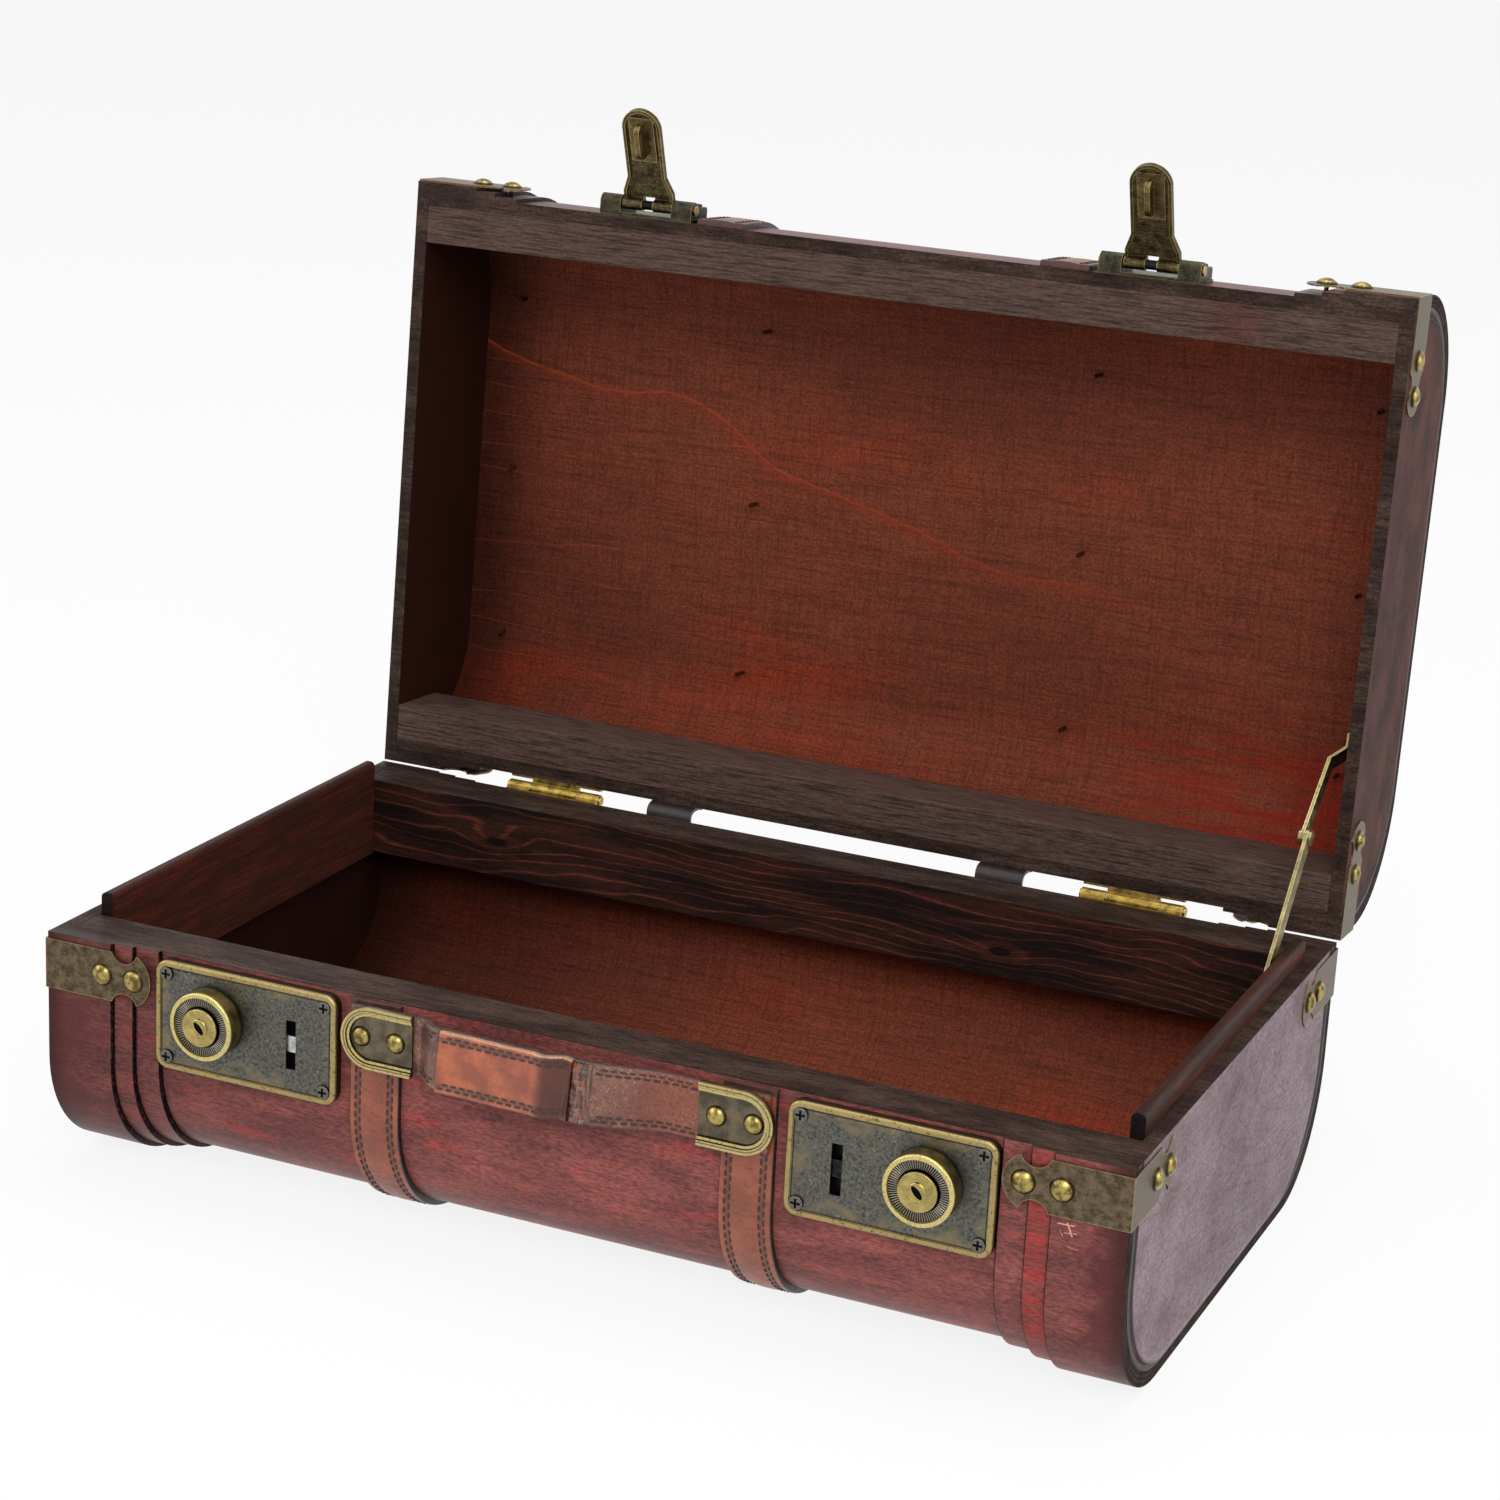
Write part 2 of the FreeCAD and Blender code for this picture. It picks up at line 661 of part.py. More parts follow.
node(cut("base_brackets", corner_brackets("base_bracket_blanks", base_bracket_level), base_nail_drills),
     "base_corner_brackets")
node(copies("base_nails", side_nail, base_nail_places), "base_bracket_nails")
node(cut("lid_brackets", corner_brackets("lid_bracket_blanks", lid_bracket_level), lid_nail_drills),
     "lid_corner_brackets", lid_swing)
node(copies("lid_nails", side_nail, lid_nail_places), "lid_bracket_nails", lid_swing)


# Nails through the lid's top, whose points show inside
def top_nail_places():
    places = []
    strap_top = lid_top - bands_depth + s.strap_thickness
    for along, level in ((strap_place, strap_top), (half_length - s.top_nail_end_distance, lid_top)):
        for side in (-1, 1):
            for step in (-1, 0, 1):
                places.append(spot(along * side, s.top_nail_spacing * step, level))
    return places


top_nail = dome_nail("top_nail", s.nail_head_radius, s.nail_head_height, s.nail_shank_radius,
                     s.top_nail_length, s.nail_point_length)
top_nail_drill = drill("top_nail_drill", s.nail_shank_radius + s.running_clearance, s.top_nail_length)
top_nail_drills = copies("top_nail_drills", top_nail_drill, top_nail_places())
node(copies("top_nails", top_nail, top_nail_places()), "lid_top_nails", lid_swing)


# Screws of the locks, hinges and hasps, all of one pattern
def screw(name, grip):
    return cross_screw(name, s.screw_head_radius, s.screw_head_height, s.screw_shank_radius,
                       grip + s.screw_bite)


def screw_drills(name, grip, places):
    radius = s.screw_shank_radius + s.running_clearance
    return copies(name, drill(name + "_cutter", radius, grip + s.screw_bite), places)


lock_top = rim - s.lock_rim_gap
lock_low = lock_top - s.lock_height
lock_outer = lock_place + s.lock_width / 2
lock_inner = lock_place - s.lock_width / 2
lock_front = skin_face + s.lock_depth
lock_face = lock_front - s.lock_border_height
lock_grip = lock_face - skin_face
lock_screw_places = [
    spot(across * side, -lock_face, level, "front")
    for side in (-1, 1)
    for across in (lock_inner + s.lock_screw_inset, lock_outer - s.lock_screw_inset)
    for level in (lock_low + s.lock_screw_inset, lock_top - s.lock_screw_inset)
]
lock_screw_drills = screw_drills("lock_screw_drills", lock_grip, lock_screw_places)
node(copies("lock_screw_set", screw("lock_screw", lock_grip), lock_screw_places), "lock_screws")

hinge_leaf_face = skin_face + s.hinge_leaf_thickness


def hinge_screw_places(level):
    return [
        spot((hinge_place + (s.hinge_length / 2 - s.hinge_screw_inset) * way) * side,
             hinge_leaf_face, level, "back")
        for side in (-1, 1)
        for way in (-1, 1)
    ]


hinge_screw = screw("hinge_screw", s.hinge_leaf_thickness)
base_hinge_places = hinge_screw_places(hinge_level - s.hinge_screw_drop)
lid_hinge_places = hinge_screw_places(hinge_level + s.hinge_screw_drop)
base_hinge_drills = screw_drills("base_hinge_drills", s.hinge_leaf_thickness, base_hinge_places)
lid_hinge_drills = screw_drills("lid_hinge_drills", s.hinge_leaf_thickness, lid_hinge_places)
node(copies("base_hinge_screw_set", hinge_screw, base_hinge_places), "base_hinge_screws")
node(copies("lid_hinge_screw_set", hinge_screw, lid_hinge_places), "lid_hinge_screws", lid_swing)

hasp_pivot_back = -skin_face - s.hasp_pivot_out
hasp_pivot_level = lid_rim + s.hasp_pivot_rise
hasp_screw_level = lid_rim + s.hasp_screw_rise
hasp_screw_reach = s.hasp_base_width / 2 - s.hasp_screw_inset
hasp_screw_places = [
    spot((hasp_place + hasp_screw_reach * way) * side,
         -skin_face - s.hasp_block_height, hasp_screw_level, "front")
    for side in (-1, 1)
    for way in (-1, 1)
]
hasp_screw_drills = screw_drills("hasp_screw_drills", s.hasp_block_height, hasp_screw_places)
node(copies("hasp_screw_set", screw("hasp_screw", s.hasp_block_height), hasp_screw_places),
     "hasp_screws", lid_swing)

# Rivets of the handle clips
clip_level = rim - s.clip_rim_gap - s.clip_height / 2
strap_face = skin_face + s.strap_thickness
leather_face = strap_face + s.handle_thickness
clip_face = leather_face + s.clip_thickness
rivet_places = [
    spot((clip_inner_end + along) * side, -clip_face, clip_level, "front")
    for side in (-1, 1)
    for along in (s.rivet_first, s.rivet_second)
]
rivet = dome_nail("rivet", s.rivet_head_radius, s.rivet_head_height, s.screw_shank_radius,
                  s.rivet_length, 0)
rivet_drill = drill("rivet_drill", s.screw_shank_radius + s.running_clearance, s.rivet_length)
rivet_drills = copies("rivet_drills", rivet_drill, rivet_places)
node(copies("rivets", rivet, rivet_places), "handle_rivets")

# Base shell: bent skin, end panels, rails and liners
base_drills = grouped("base_drills", [base_nail_drills, lock_screw_drills, base_hinge_drills, rivet_drills])
base_skin_blank = shell_strip("base_skin_blank", -half_length, half_length, bands_depth,
                              s.skin_thickness, skin_rounds, False, 0, 0)
node(cut("base_skin_drilled", base_skin_blank, base_drills), "base_skin")

base_end_blank = end_panel("base_end_blank", end_face, half_length, False)
node_pair(cut("base_end_drilled", base_end_blank, base_nail_drills), "base_end")


def rail(name, way, low_edge, high_edge, reach):
    near, far = (rail_face, wood_face) if way > 0 else (-wood_face, -rail_face)
    return padded(name, "YZ", -reach, reach, rectangle(near, far, low_edge, high_edge))


node(rail("base_rail_front", -1, rim - s.rail_height, rim, end_face), "base_front_rail")
node(rail("base_rail_back", 1, rim - s.rail_height, rim, end_face), "base_back_rail")

liner_inner = end_face - s.liner_thickness
liner_top = rim + s.liner_rise
liner_reach = rail_face - s.liner_end_gap
liner_path = [
    (liner_inner, rim - s.rail_height),
    (end_face, rim - s.rail_height),
    (end_face, liner_top - s.liner_round),
    (end_face - s.liner_round, liner_top, s.liner_round),
    (liner_inner + s.liner_round, liner_top),
    (liner_inner, liner_top - s.liner_round, s.liner_round),
]
liner = padded("liner_blank", "XZ", -liner_reach, liner_reach, liner_path)
stay_bar_outer = liner_inner - s.stay_liner_gap
stay_bar_inner = stay_bar_outer - s.stay_bar_thickness
stay_base_level = rim - s.stay_base_pivot_drop
stay_base_back = hinge_back - s.stay_base_pivot_reach
stay_base_pivot = spot(stay_bar_inner - s.running_clearance, stay_base_back, stay_base_level, "left")
stay_grip = s.stay_bar_thickness + s.stay_liner_gap + s.liner_thickness * s.rivet_bite_share
stay_drill = drill("stay_drill", s.stay_rivet_radius + s.running_clearance, stay_grip)
liner_drill = copies("liner_drill", stay_drill, [stay_base_pivot])
node(cut("liner_drilled", liner, liner_drill), "base_liner_right")
node(mirrored(liner, "liner_twin"), "base_liner_left")

# Lid shell: bent skin, end panels and rails
lid_drills = grouped("lid_drills", [lid_nail_drills, top_nail_drills, lid_hinge_drills, hasp_screw_drills])
lid_skin_blank = shell_strip("lid_skin_blank", -half_length, half_length, bands_depth,
                             s.skin_thickness, skin_rounds, True, 0, 0)
node(cut("lid_skin_drilled", lid_skin_blank, lid_drills), "lid_skin", lid_swing)

lid_end_face = end_face + s.closing_clearance
stay_lid_level = lid_rim + s.stay_lid_pivot_rise
stay_lid_back = hinge_back - s.stay_lid_pivot_reach
stud_place = spot(lid_end_face, stay_lid_back, stay_lid_level, "left")
stud_bite = (half_length - lid_end_face) * s.rivet_bite_share
stud_drill = drill("stud_drill", s.stay_rivet_radius + s.running_clearance, stud_bite)
lid_end_drills = grouped("lid_end_drills", [lid_nail_drills, copies("stud_hole", stud_drill, [stud_place])])
lid_end_blank = end_panel("lid_end_blank", lid_end_face, half_length, True)
node(cut("lid_end_drilled", lid_end_blank, lid_end_drills), "lid_end_right", lid_swing)
lid_end_plain = cut("lid_end_plain", lid_end_blank, lid_nail_drills)
node(mirrored(lid_end_plain, "lid_end_twin"), "lid_end_left", lid_swing)
lid_rail_top = lid_rim + s.rail_height
lid_bevel_level = lid_rim + s.lid_rail_bevel_start


def lid_rail(name, way):
    """A rail of the lid, whose outer face is bevelled where the plywood starts to bend."""
    path = [
        (rail_face * way, lid_rim),
        (wood_face * way, lid_rim),
        (wood_face * way, lid_bevel_level),
        ((wood_face - s.lid_rail_bevel) * way, lid_rail_top),
        (rail_face * way, lid_rail_top),
    ]
    return padded(name, "YZ", -lid_end_face, lid_end_face, path)


node(lid_rail("lid_rail_front", -1), "lid_front_rail", lid_swing)
node(lid_rail("lid_rail_back", 1), "lid_back_rail", lid_swing)


# Veneer bands: three layers at each end, each narrower than the one below
def bands(shell, layer, width, is_lid, drills, place):
    inset = bands_depth - s.band_thickness * (layer + 1)
    name = "%s_band_%d" % (shell, layer)
    right = shell_strip(name + "_right", half_length - width, half_length, inset,
                        s.band_thickness, (s.corner_radius, s.corner_radius), is_lid, 0, 0)
    pair = grouped(name + "_pair", [mirrored(right, name + "_left"), right])
    label = "%s_band_%s" % (shell, ("inner", "middle", "outer")[layer])
    node(cut(name + "_drilled", pair, drills), label, place)


lid_band_drills = grouped("lid_band_drills", [lid_nail_drills, top_nail_drills])
for layer, width in enumerate((s.inner_band_width, s.middle_band_width, s.outer_band_width)):
    bands("base", layer, width, False, base_nail_drills, FreeCAD.Placement())
    bands("lid", layer, width, True, lid_band_drills, lid_swing)


# Leather straps round both shells, with a fold of thinner leather across the hinge line
def straps(name, label, is_lid, drills, place):
    low, high = strap_place - s.strap_width / 2, strap_place + s.strap_width / 2
    right = shell_strip(name + "_right", low, high, bands_depth - s.strap_thickness,
                        s.strap_thickness, (s.corner_radius + s.strap_thickness, s.corner_radius),
                        is_lid, s.strap_rim_gap, s.strap_hinge_gap)
    pair = grouped(name + "_pair", [mirrored(right, name + "_left"), right])
    node(cut(name + "_drilled", pair, drills), label, place)


straps("base_strap", "base_straps", False, rivet_drills, FreeCAD.Placement())
straps("lid_strap", "lid_straps", True, top_nail_drills, lid_swing)


def runs_along(edge, corner):
    """Whether an edge runs along X past a corner of the fold."""
    limit = amount(s.running_clearance)
    return all(
        abs(vertex.Point.y - corner.y) < limit and abs(vertex.Point.z - corner.z) < limit
        for vertex in edge.Vertexes
    )


def strap_fold():
    """A right-hand fold: up the base's back and out along the lid's back, thin side against the plywood."""
    inner, outer = amount(skin_face), amount(skin_face + s.fold_thickness)
    base_end_level = amount(rim - s.strap_hinge_gap)
    lid_end_level = amount(lid_rim + s.strap_hinge_gap)
    radius, thickness = amount(s.fold_radius), amount(s.fold_thickness)

    def on_lid(back, up):
        return lid_swing.multVec(FreeCAD.Vector(0, back, up))

    def meeting(back, first, last):
        share = (back - first.y) / (last.y - first.y)
        return FreeCAD.Vector(0, back, first.z + (last.z - first.z) * share)

    lid_inner = on_lid(inner, lid_end_level)
    lid_outer = on_lid(outer, lid_end_level)
    corners = [
        FreeCAD.Vector(0, inner, base_end_level),
        FreeCAD.Vector(0, outer, base_end_level),
        meeting(outer, on_lid(outer, 0), lid_outer),
        lid_outer,
        lid_inner,
        meeting(inner, on_lid(inner, 0), lid_inner),
    ]
    face = Part.Face(Part.makePolygon(corners + corners[:1]))
    face.translate(SIDEWAYS * amount(strap_place - s.strap_width / 2))
    solid = face.extrude(SIDEWAYS * amount(s.strap_width))
    for corner, size in ((corners[2], radius), (corners[5], radius + thickness)):
        edges = [edge for edge in solid.Edges if runs_along(edge, corner)]
        solid = solid.makeFillet(size, edges)
    return solid


fold_right = doc.addObject("Part::Feature", "strap_fold_right")
fold_right.Shape = strap_fold()
node(grouped("strap_fold_pair", [mirrored(fold_right, "strap_fold_left"), fold_right]), "strap_folds")


# Lock plates: dished sheet with a raised border, a slot for the hasp and one for the knob's stem
hasp_slot_level = rim - s.hasp_slot_drop
knob_level = rim - s.knob_drop
lock_wall_face = lock_face - s.lock_wall


def on_lock_front(edge):
    limit = amount(s.running_clearance)
    return all(abs(vertex.Point.y + amount(lock_front)) < limit for vertex in edge.Vertexes)


def plate_outline(inset):
    return rounded_rectangle(lock_inner + inset, lock_outer - inset, lock_low + inset, lock_top - inset,
                             s.lock_corner_radius - inset)


def lock_plate():
    body = padded("lock_plate", "XZ", -lock_front, -skin_face, plate_outline(0))
    rounded_edges(body, "lock_plate_round", s.lock_edge_round, on_lock_front)
    slab(body, "Pocket", "XZ", -lock_front, -lock_face, plate_outline(s.lock_border_width))
    slab(body, "Pocket", "XZ", -lock_wall_face, -skin_face, plate_outline(s.lock_wall))
    half_width, half_height = s.hasp_slot_width / 2, s.hasp_slot_height / 2
    hasp_slot = rectangle(hasp_place - half_width, hasp_place + half_width,
                          hasp_slot_level - half_height, hasp_slot_level + half_height)
    stem_slot = long_hole(knob_place, knob_place + s.knob_travel, knob_level,
                          s.stem_radius + s.stem_flat_gap)
    for slot in (hasp_slot, stem_slot):
        slab(body, "Pocket", "XZ", -lock_face - s.drill_overrun, -lock_wall_face, slot)
    return body


node_pair(cut("lock_plate_drilled", lock_plate(), lock_screw_drills), "lock_plate")


# Lock knobs: drums that slide outwards, each with a key plug in front and a bolt behind
def lock_knob():
    edge = s.knob_edge_round
    dish = s.knob_height - s.knob_dish_depth
    rim_inside = s.knob_radius - s.knob_rim_width
    bore = s.plug_radius + s.running_clearance
    floor = plug_low - s.running_clearance
    path = [
        (0, -s.stem_reach),
        (s.stem_radius, -s.stem_reach),
        (s.stem_radius, 0),
        (s.knob_radius - edge, 0),
        (s.knob_radius, edge, edge),
        (s.knob_radius, s.knob_height - edge),
        (s.knob_radius - edge, s.knob_height, edge),
        (rim_inside, s.knob_height),
        (rim_inside, dish),
        (bore, dish),
        (bore, floor),
        (0, floor),
    ]
    return turned("lock_knob", path)


def lock_plug():
    edge = s.plug_edge_round
    path = [
        (0, plug_low),
        (s.plug_radius, plug_low),
        (s.plug_radius, plug_top - edge),
        (s.plug_radius - edge, plug_top, edge),
        (0, plug_top),
    ]
    body = turned("lock_plug", path)
    half_width, half_height = s.key_slot_width / 2, s.key_slot_height / 2
    slab(body, "Pocket", "XY", plug_top - s.key_slot_depth, plug_top + s.drill_overrun,
         rectangle(-half_width, half_width, -half_height, half_height))
    return body


def lock_bolt():
    """The nose passes through the hasp's tongue, and the tail sits on the knob's stem."""
    nose = hasp_place - s.bolt_reach
    tail_start, tail_end = knob_place - s.bolt_tail, knob_place + s.bolt_tail
    low = hasp_slot_level - s.bolt_height / 2
    path = [
        (nose, low),
        (tail_end, low),
        (tail_end, low + s.bolt_tail_height),
        (tail_start, low + s.bolt_tail_height),
        (tail_start, low + s.bolt_height),
        (nose, low + s.bolt_height),
    ]
    body = padded("lock_bolt", "XZ", -bolt_front, -bolt_back, path)
    hole = circle(knob_place, knob_level, s.stem_radius + s.running_clearance)
    slab(body, "Pocket", "XZ", -bolt_front - s.drill_overrun, -bolt_back, hole)
    return body


plug_top = s.knob_height + s.plug_proud
plug_low = plug_top - s.plug_length
bolt_back = skin_face + s.bolt_back_gap
bolt_front = bolt_back + s.bolt_thickness
bolt_middle = bolt_back + s.bolt_thickness / 2
knob, plug, bolt = lock_knob(), lock_plug(), lock_bolt()
node_pair(bolt, "lock_bolt")
for side, hand in ((1, "right"), (-1, "left")):
    knob_back = spot(knob_place * side, -lock_face - s.knob_gap, knob_level, "front")
    node(copies("knob_" + hand, knob, [knob_back]), "lock_knob_" + hand)
    node(copies("plug_" + hand, plug, [knob_back]), "lock_plug_" + hand)

# Lock springs push the bolts inwards
lock_spring_start = knob_place + s.bolt_tail + s.knob_gap
lock_spring = turned("lock_spring", rectangle(
    s.lock_spring_radius - s.lock_spring_wire, s.lock_spring_radius,
    0, lock_outer - s.lock_wall - lock_spring_start))
lock_spring_places = [
    spot(lock_spring_start * side, -bolt_middle, knob_level, facing)
    for side, facing in ((1, "right"), (-1, "left"))
]
node(copies("lock_spring_pair", lock_spring, lock_spring_places), "lock_springs")


# Handle clips: brass plates with a round outer end, and two ridges that follow all but the inner edge
def clip_outline(inset, start):
    outer = clip_inner_end + s.clip_length
    bend = s.clip_height / 2
    return [
        (start, clip_level - bend + inset),
        (outer - bend, clip_level - bend + inset),
        (outer - inset, clip_level, bend - inset),
        (outer - bend, clip_level + bend - inset, bend - inset),
        (start, clip_level + bend - inset),
    ]


def handle_clip():
    """Each ridge is a pad, cleared again inside its width."""
    inner, beyond = clip_inner_end, clip_inner_end - s.drill_overrun
    outer_ridge = clip_face + s.clip_ridge_height
    inner_ridge = clip_face + s.clip_inner_ridge_height
    inner_start = s.clip_inner_ridge_start
    body = padded("handle_clip", "XZ", -outer_ridge, -leather_face, clip_outline(0, inner))
    slab(body, "Pocket", "XZ", -outer_ridge, -clip_face, clip_outline(s.clip_ridge_width, beyond))
    slab(body, "Pad", "XZ", -inner_ridge, -clip_face, clip_outline(inner_start, inner))
    inside = clip_outline(inner_start + s.clip_inner_ridge_width, beyond)
    slab(body, "Pocket", "XZ", -inner_ridge, -clip_face, inside)
    return body


node_pair(cut("handle_clip_drilled", handle_clip(), rivet_drills), "handle_clip")


# Handle: a leather strap that stands out between the clips, with a sleeve round its left half
def bend_measures(run, rise):
    """Radius of an S bend's middle line, and the sine and cosine of its slope half way."""
    square = run * run + rise * rise
    return square / (rise * 4), run * rise * 2 / square, (run * run - rise * rise) / square


def handle_strap():
    half = s.handle_thickness / 2
    near = -strap_face - half
    far = near - s.handle_bulge
    middle = near - s.handle_bulge / 2
    end = clip_inner_end + s.clip_length - s.handle_tail_gap
    left_run = clip_inner_end * s.handle_bend_run_share
    right_run = clip_inner_end * s.handle_right_run_share
    left_end, left_start = -left_bend, -left_bend - left_run
    right_start, right_end = right_bend, right_bend + right_run
    left_radius, left_sine, left_cosine = bend_measures(left_run, s.handle_bulge)
    right_radius, right_sine, right_cosine = bend_measures(right_run, s.handle_bulge)
    left_middle = left_start + left_run / 2
    right_middle = right_start + right_run / 2
    path = [
        (-end, near - half),
        (left_start, near - half),
        (left_middle - half * left_sine, middle - half * left_cosine, half - left_radius),
        (left_end, far - half, left_radius + half),
        (right_start, far - half),
        (right_middle + half * right_sine, middle - half * right_cosine, right_radius + half),
        (right_end, near - half, half - right_radius),
        (end, near - half),
        (end, near + half),
        (right_end, near + half),
        (right_middle - half * right_sine, middle + half * right_cosine, right_radius + half),
        (right_start, far + half, half - right_radius),
        (left_end, far + half),
        (left_middle + half * left_sine, middle + half * left_cosine, half - left_radius),
        (left_start, near + half, left_radius + half),
        (-end, near + half),
    ]
    return padded("handle_strap_blank", "XY", handle_low, handle_high, path)


left_bend = clip_inner_end * s.handle_left_bend_share
right_bend = clip_inner_end * s.handle_right_bend_share
handle_low = clip_level - s.handle_width / 2
handle_high = clip_level + s.handle_width / 2
node(cut("handle_strap_drilled", handle_strap(), rivet_drills), "handle_strap")
sleeve_start = s.sleeve_inset - left_bend
sleeve_back = leather_face + s.handle_bulge
sleeve_front = sleeve_back + s.sleeve_thickness
sleeve_path = [
    (sleeve_start, -sleeve_back),
    (sleeve_start, s.sleeve_round - sleeve_front),
    (sleeve_start + s.sleeve_round, -sleeve_front, s.sleeve_round),
    (right_bend - s.sleeve_round, -sleeve_front),
    (right_bend, s.sleeve_round - sleeve_front, s.sleeve_round),
    (right_bend, -sleeve_back),
]
node(padded("sleeve", "XY", handle_low, handle_high, sleeve_path), "handle_sleeve")


def headed_pin(name, radius, head_radius, head_height, grip):
    """A pin with a flat head at each end, centred on its own origin, with its grip between the heads."""
    half = grip / 2
    path = [
        (0, -half - head_height),
        (head_radius, -half - head_height),
        (head_radius, -half),
        (radius, -half),
        (radius, half),
        (head_radius, half),
        (head_radius, half + head_height),
        (0, half + head_height),
    ]
    return turned(name, path)


# Barrel hinges: the base's leaves carry the outer knuckles and the lid's leaves the middle ones
def knuckle(body, low, high, web_low, web_high):
    web = rectangle(skin_face, hinge_back, web_low, web_high)
    slab(body, "Pad", "YZ", low, high, web)
    slab(body, "Pad", "YZ", low, high, circle(hinge_back, hinge_level, s.hinge_barrel_radius))


def hinge_leaf(name, low_edge, high_edge, knuckles, web_low, web_high):
    body = padded(name, "YZ", hinge_start, hinge_end,
                  rectangle(skin_face, hinge_leaf_face, low_edge, high_edge))
    for low, high in knuckles:
        knuckle(body, low, high, web_low, web_high)
    bore = circle(hinge_back, hinge_level, s.hinge_pin_radius + s.running_clearance)
    slab(body, "Pocket", "YZ", hinge_start, hinge_end, bore)
    return grouped(name + "_pair", [mirrored(body, name + "_twin"), body])


hinge_start, hinge_end = hinge_place - s.hinge_length / 2, hinge_place + s.hinge_length / 2
middle_start = hinge_place - s.hinge_middle_length / 2
middle_end = hinge_place + s.hinge_middle_length / 2
outer_knuckles = [
    (hinge_start, middle_start - s.hinge_knuckle_gap),
    (middle_end + s.hinge_knuckle_gap, hinge_end),
]
base_leaves = hinge_leaf("base_hinge_leaf", hinge_level - s.hinge_leaf_height, rim, outer_knuckles,
                         hinge_level - s.hinge_web_height, hinge_level)
lid_leaves = hinge_leaf("lid_hinge_leaf", lid_rim, hinge_level + s.hinge_leaf_height,
                        [(middle_start, middle_end)], hinge_level, hinge_level + s.hinge_web_height)
node(cut("base_hinge_leaves_drilled", base_leaves, base_hinge_drills), "base_hinge_leaves")
node(cut("lid_hinge_leaves_drilled", lid_leaves, lid_hinge_drills), "lid_hinge_leaves", lid_swing)
hinge_pin = headed_pin("hinge_pin", s.hinge_pin_radius, s.pin_head_radius, s.pin_head_height,
                       s.hinge_length + s.pin_end_gap * 2)
hinge_pin_places = [spot(hinge_place * side, hinge_back, hinge_level, "right") for side in (-1, 1)]
node(copies("hinge_pin_pair", hinge_pin, hinge_pin_places), "hinge_pins")


# Hasps: a base with two raised ends on the lid's front, and a sprung leaf whose tongue enters the lock
def hasp_base():
    middle = hasp_place
    half_width = s.hasp_base_width / 2
    low = lid_rim + s.hasp_base_rim_gap
    plate = rounded_rectangle(middle - half_width, middle + half_width, low, low + s.hasp_base_height,
                              s.hasp_base_round)
    body = padded("hasp_base", "XZ", -skin_face - s.hasp_base_thickness, -skin_face, plate)
    radius, edge = s.hasp_lug_radius, s.hasp_block_edge_round
    block_face = -skin_face - s.hasp_block_height
    block_top = low + s.hasp_base_height - s.hasp_block_inset
    lug = [
        (-skin_face, block_top),
        (block_face + edge, block_top),
        (block_face, block_top - edge, edge),
        (block_face, hasp_pivot_level + s.hasp_block_slope),
        (hasp_pivot_back - radius, hasp_pivot_level),
        (hasp_pivot_back, hasp_pivot_level - radius, radius),
        (-skin_face, hasp_pivot_level - radius),
    ]
    slab(body, "Pad", "YZ", middle - lug_far, middle - lug_near, lug)
    slab(body, "Pad", "YZ", middle + lug_near, middle + lug_far, lug)
    bore = circle(hasp_pivot_back, hasp_pivot_level, s.hasp_pin_radius + s.running_clearance)
    slab(body, "Pocket", "YZ", middle - lug_far, middle + lug_far, bore)
    return body


def leaf_outline(inset, top):
    middle, pivot = hasp_place, hasp_pivot_level
    wide = s.hasp_leaf_width / 2 - inset
    waist = s.hasp_leaf_waist / 2 - inset
    end = pivot - s.hasp_leaf_length + inset
    return [
        (middle - wide, top),
        (middle - wide, pivot - s.hasp_leaf_shoulder),
        (middle - waist, pivot - s.hasp_leaf_neck),
        (middle - waist, end + waist),
        (middle, end, waist),
        (middle + waist, end + waist, waist),
        (middle + waist, pivot - s.hasp_leaf_neck),
        (middle + wide, pivot - s.hasp_leaf_shoulder),
        (middle + wide, top),
    ]


def hasp_leaf():
    """Drawn hanging shut. The border stands up on the side that faces the lock."""
    middle, pivot = hasp_place, hasp_pivot_level
    half_width = s.hasp_leaf_width / 2
    gap_half = s.hasp_spring_length / 2 + s.hasp_spring_gap
    edge_face = leaf_face + s.hasp_leaf_edge_height
    body = padded("hasp_leaf", "XZ", leaf_front, edge_face, leaf_outline(0, pivot))
    inside = leaf_outline(s.hasp_leaf_edge, pivot - s.hasp_barrel_radius)
    slab(body, "Pocket", "XZ", leaf_face, edge_face, inside)
    for low, high in ((middle - half_width, middle - gap_half), (middle + gap_half, middle + half_width)):
        slab(body, "Pad", "YZ", low, high, circle(hasp_pivot_back, pivot, s.hasp_barrel_radius))
    window = rectangle(middle - gap_half, middle + gap_half,
                       pivot - s.hasp_barrel_radius - s.hasp_spring_wire, pivot + s.hasp_barrel_radius)
    slab(body, "Pocket", "XZ", leaf_front - s.drill_overrun, edge_face, window)
    bore = circle(hasp_pivot_back, pivot, s.hasp_pin_radius + s.running_clearance)
    slab(body, "Pocket", "YZ", middle - half_width, middle + half_width, bore)
    return body


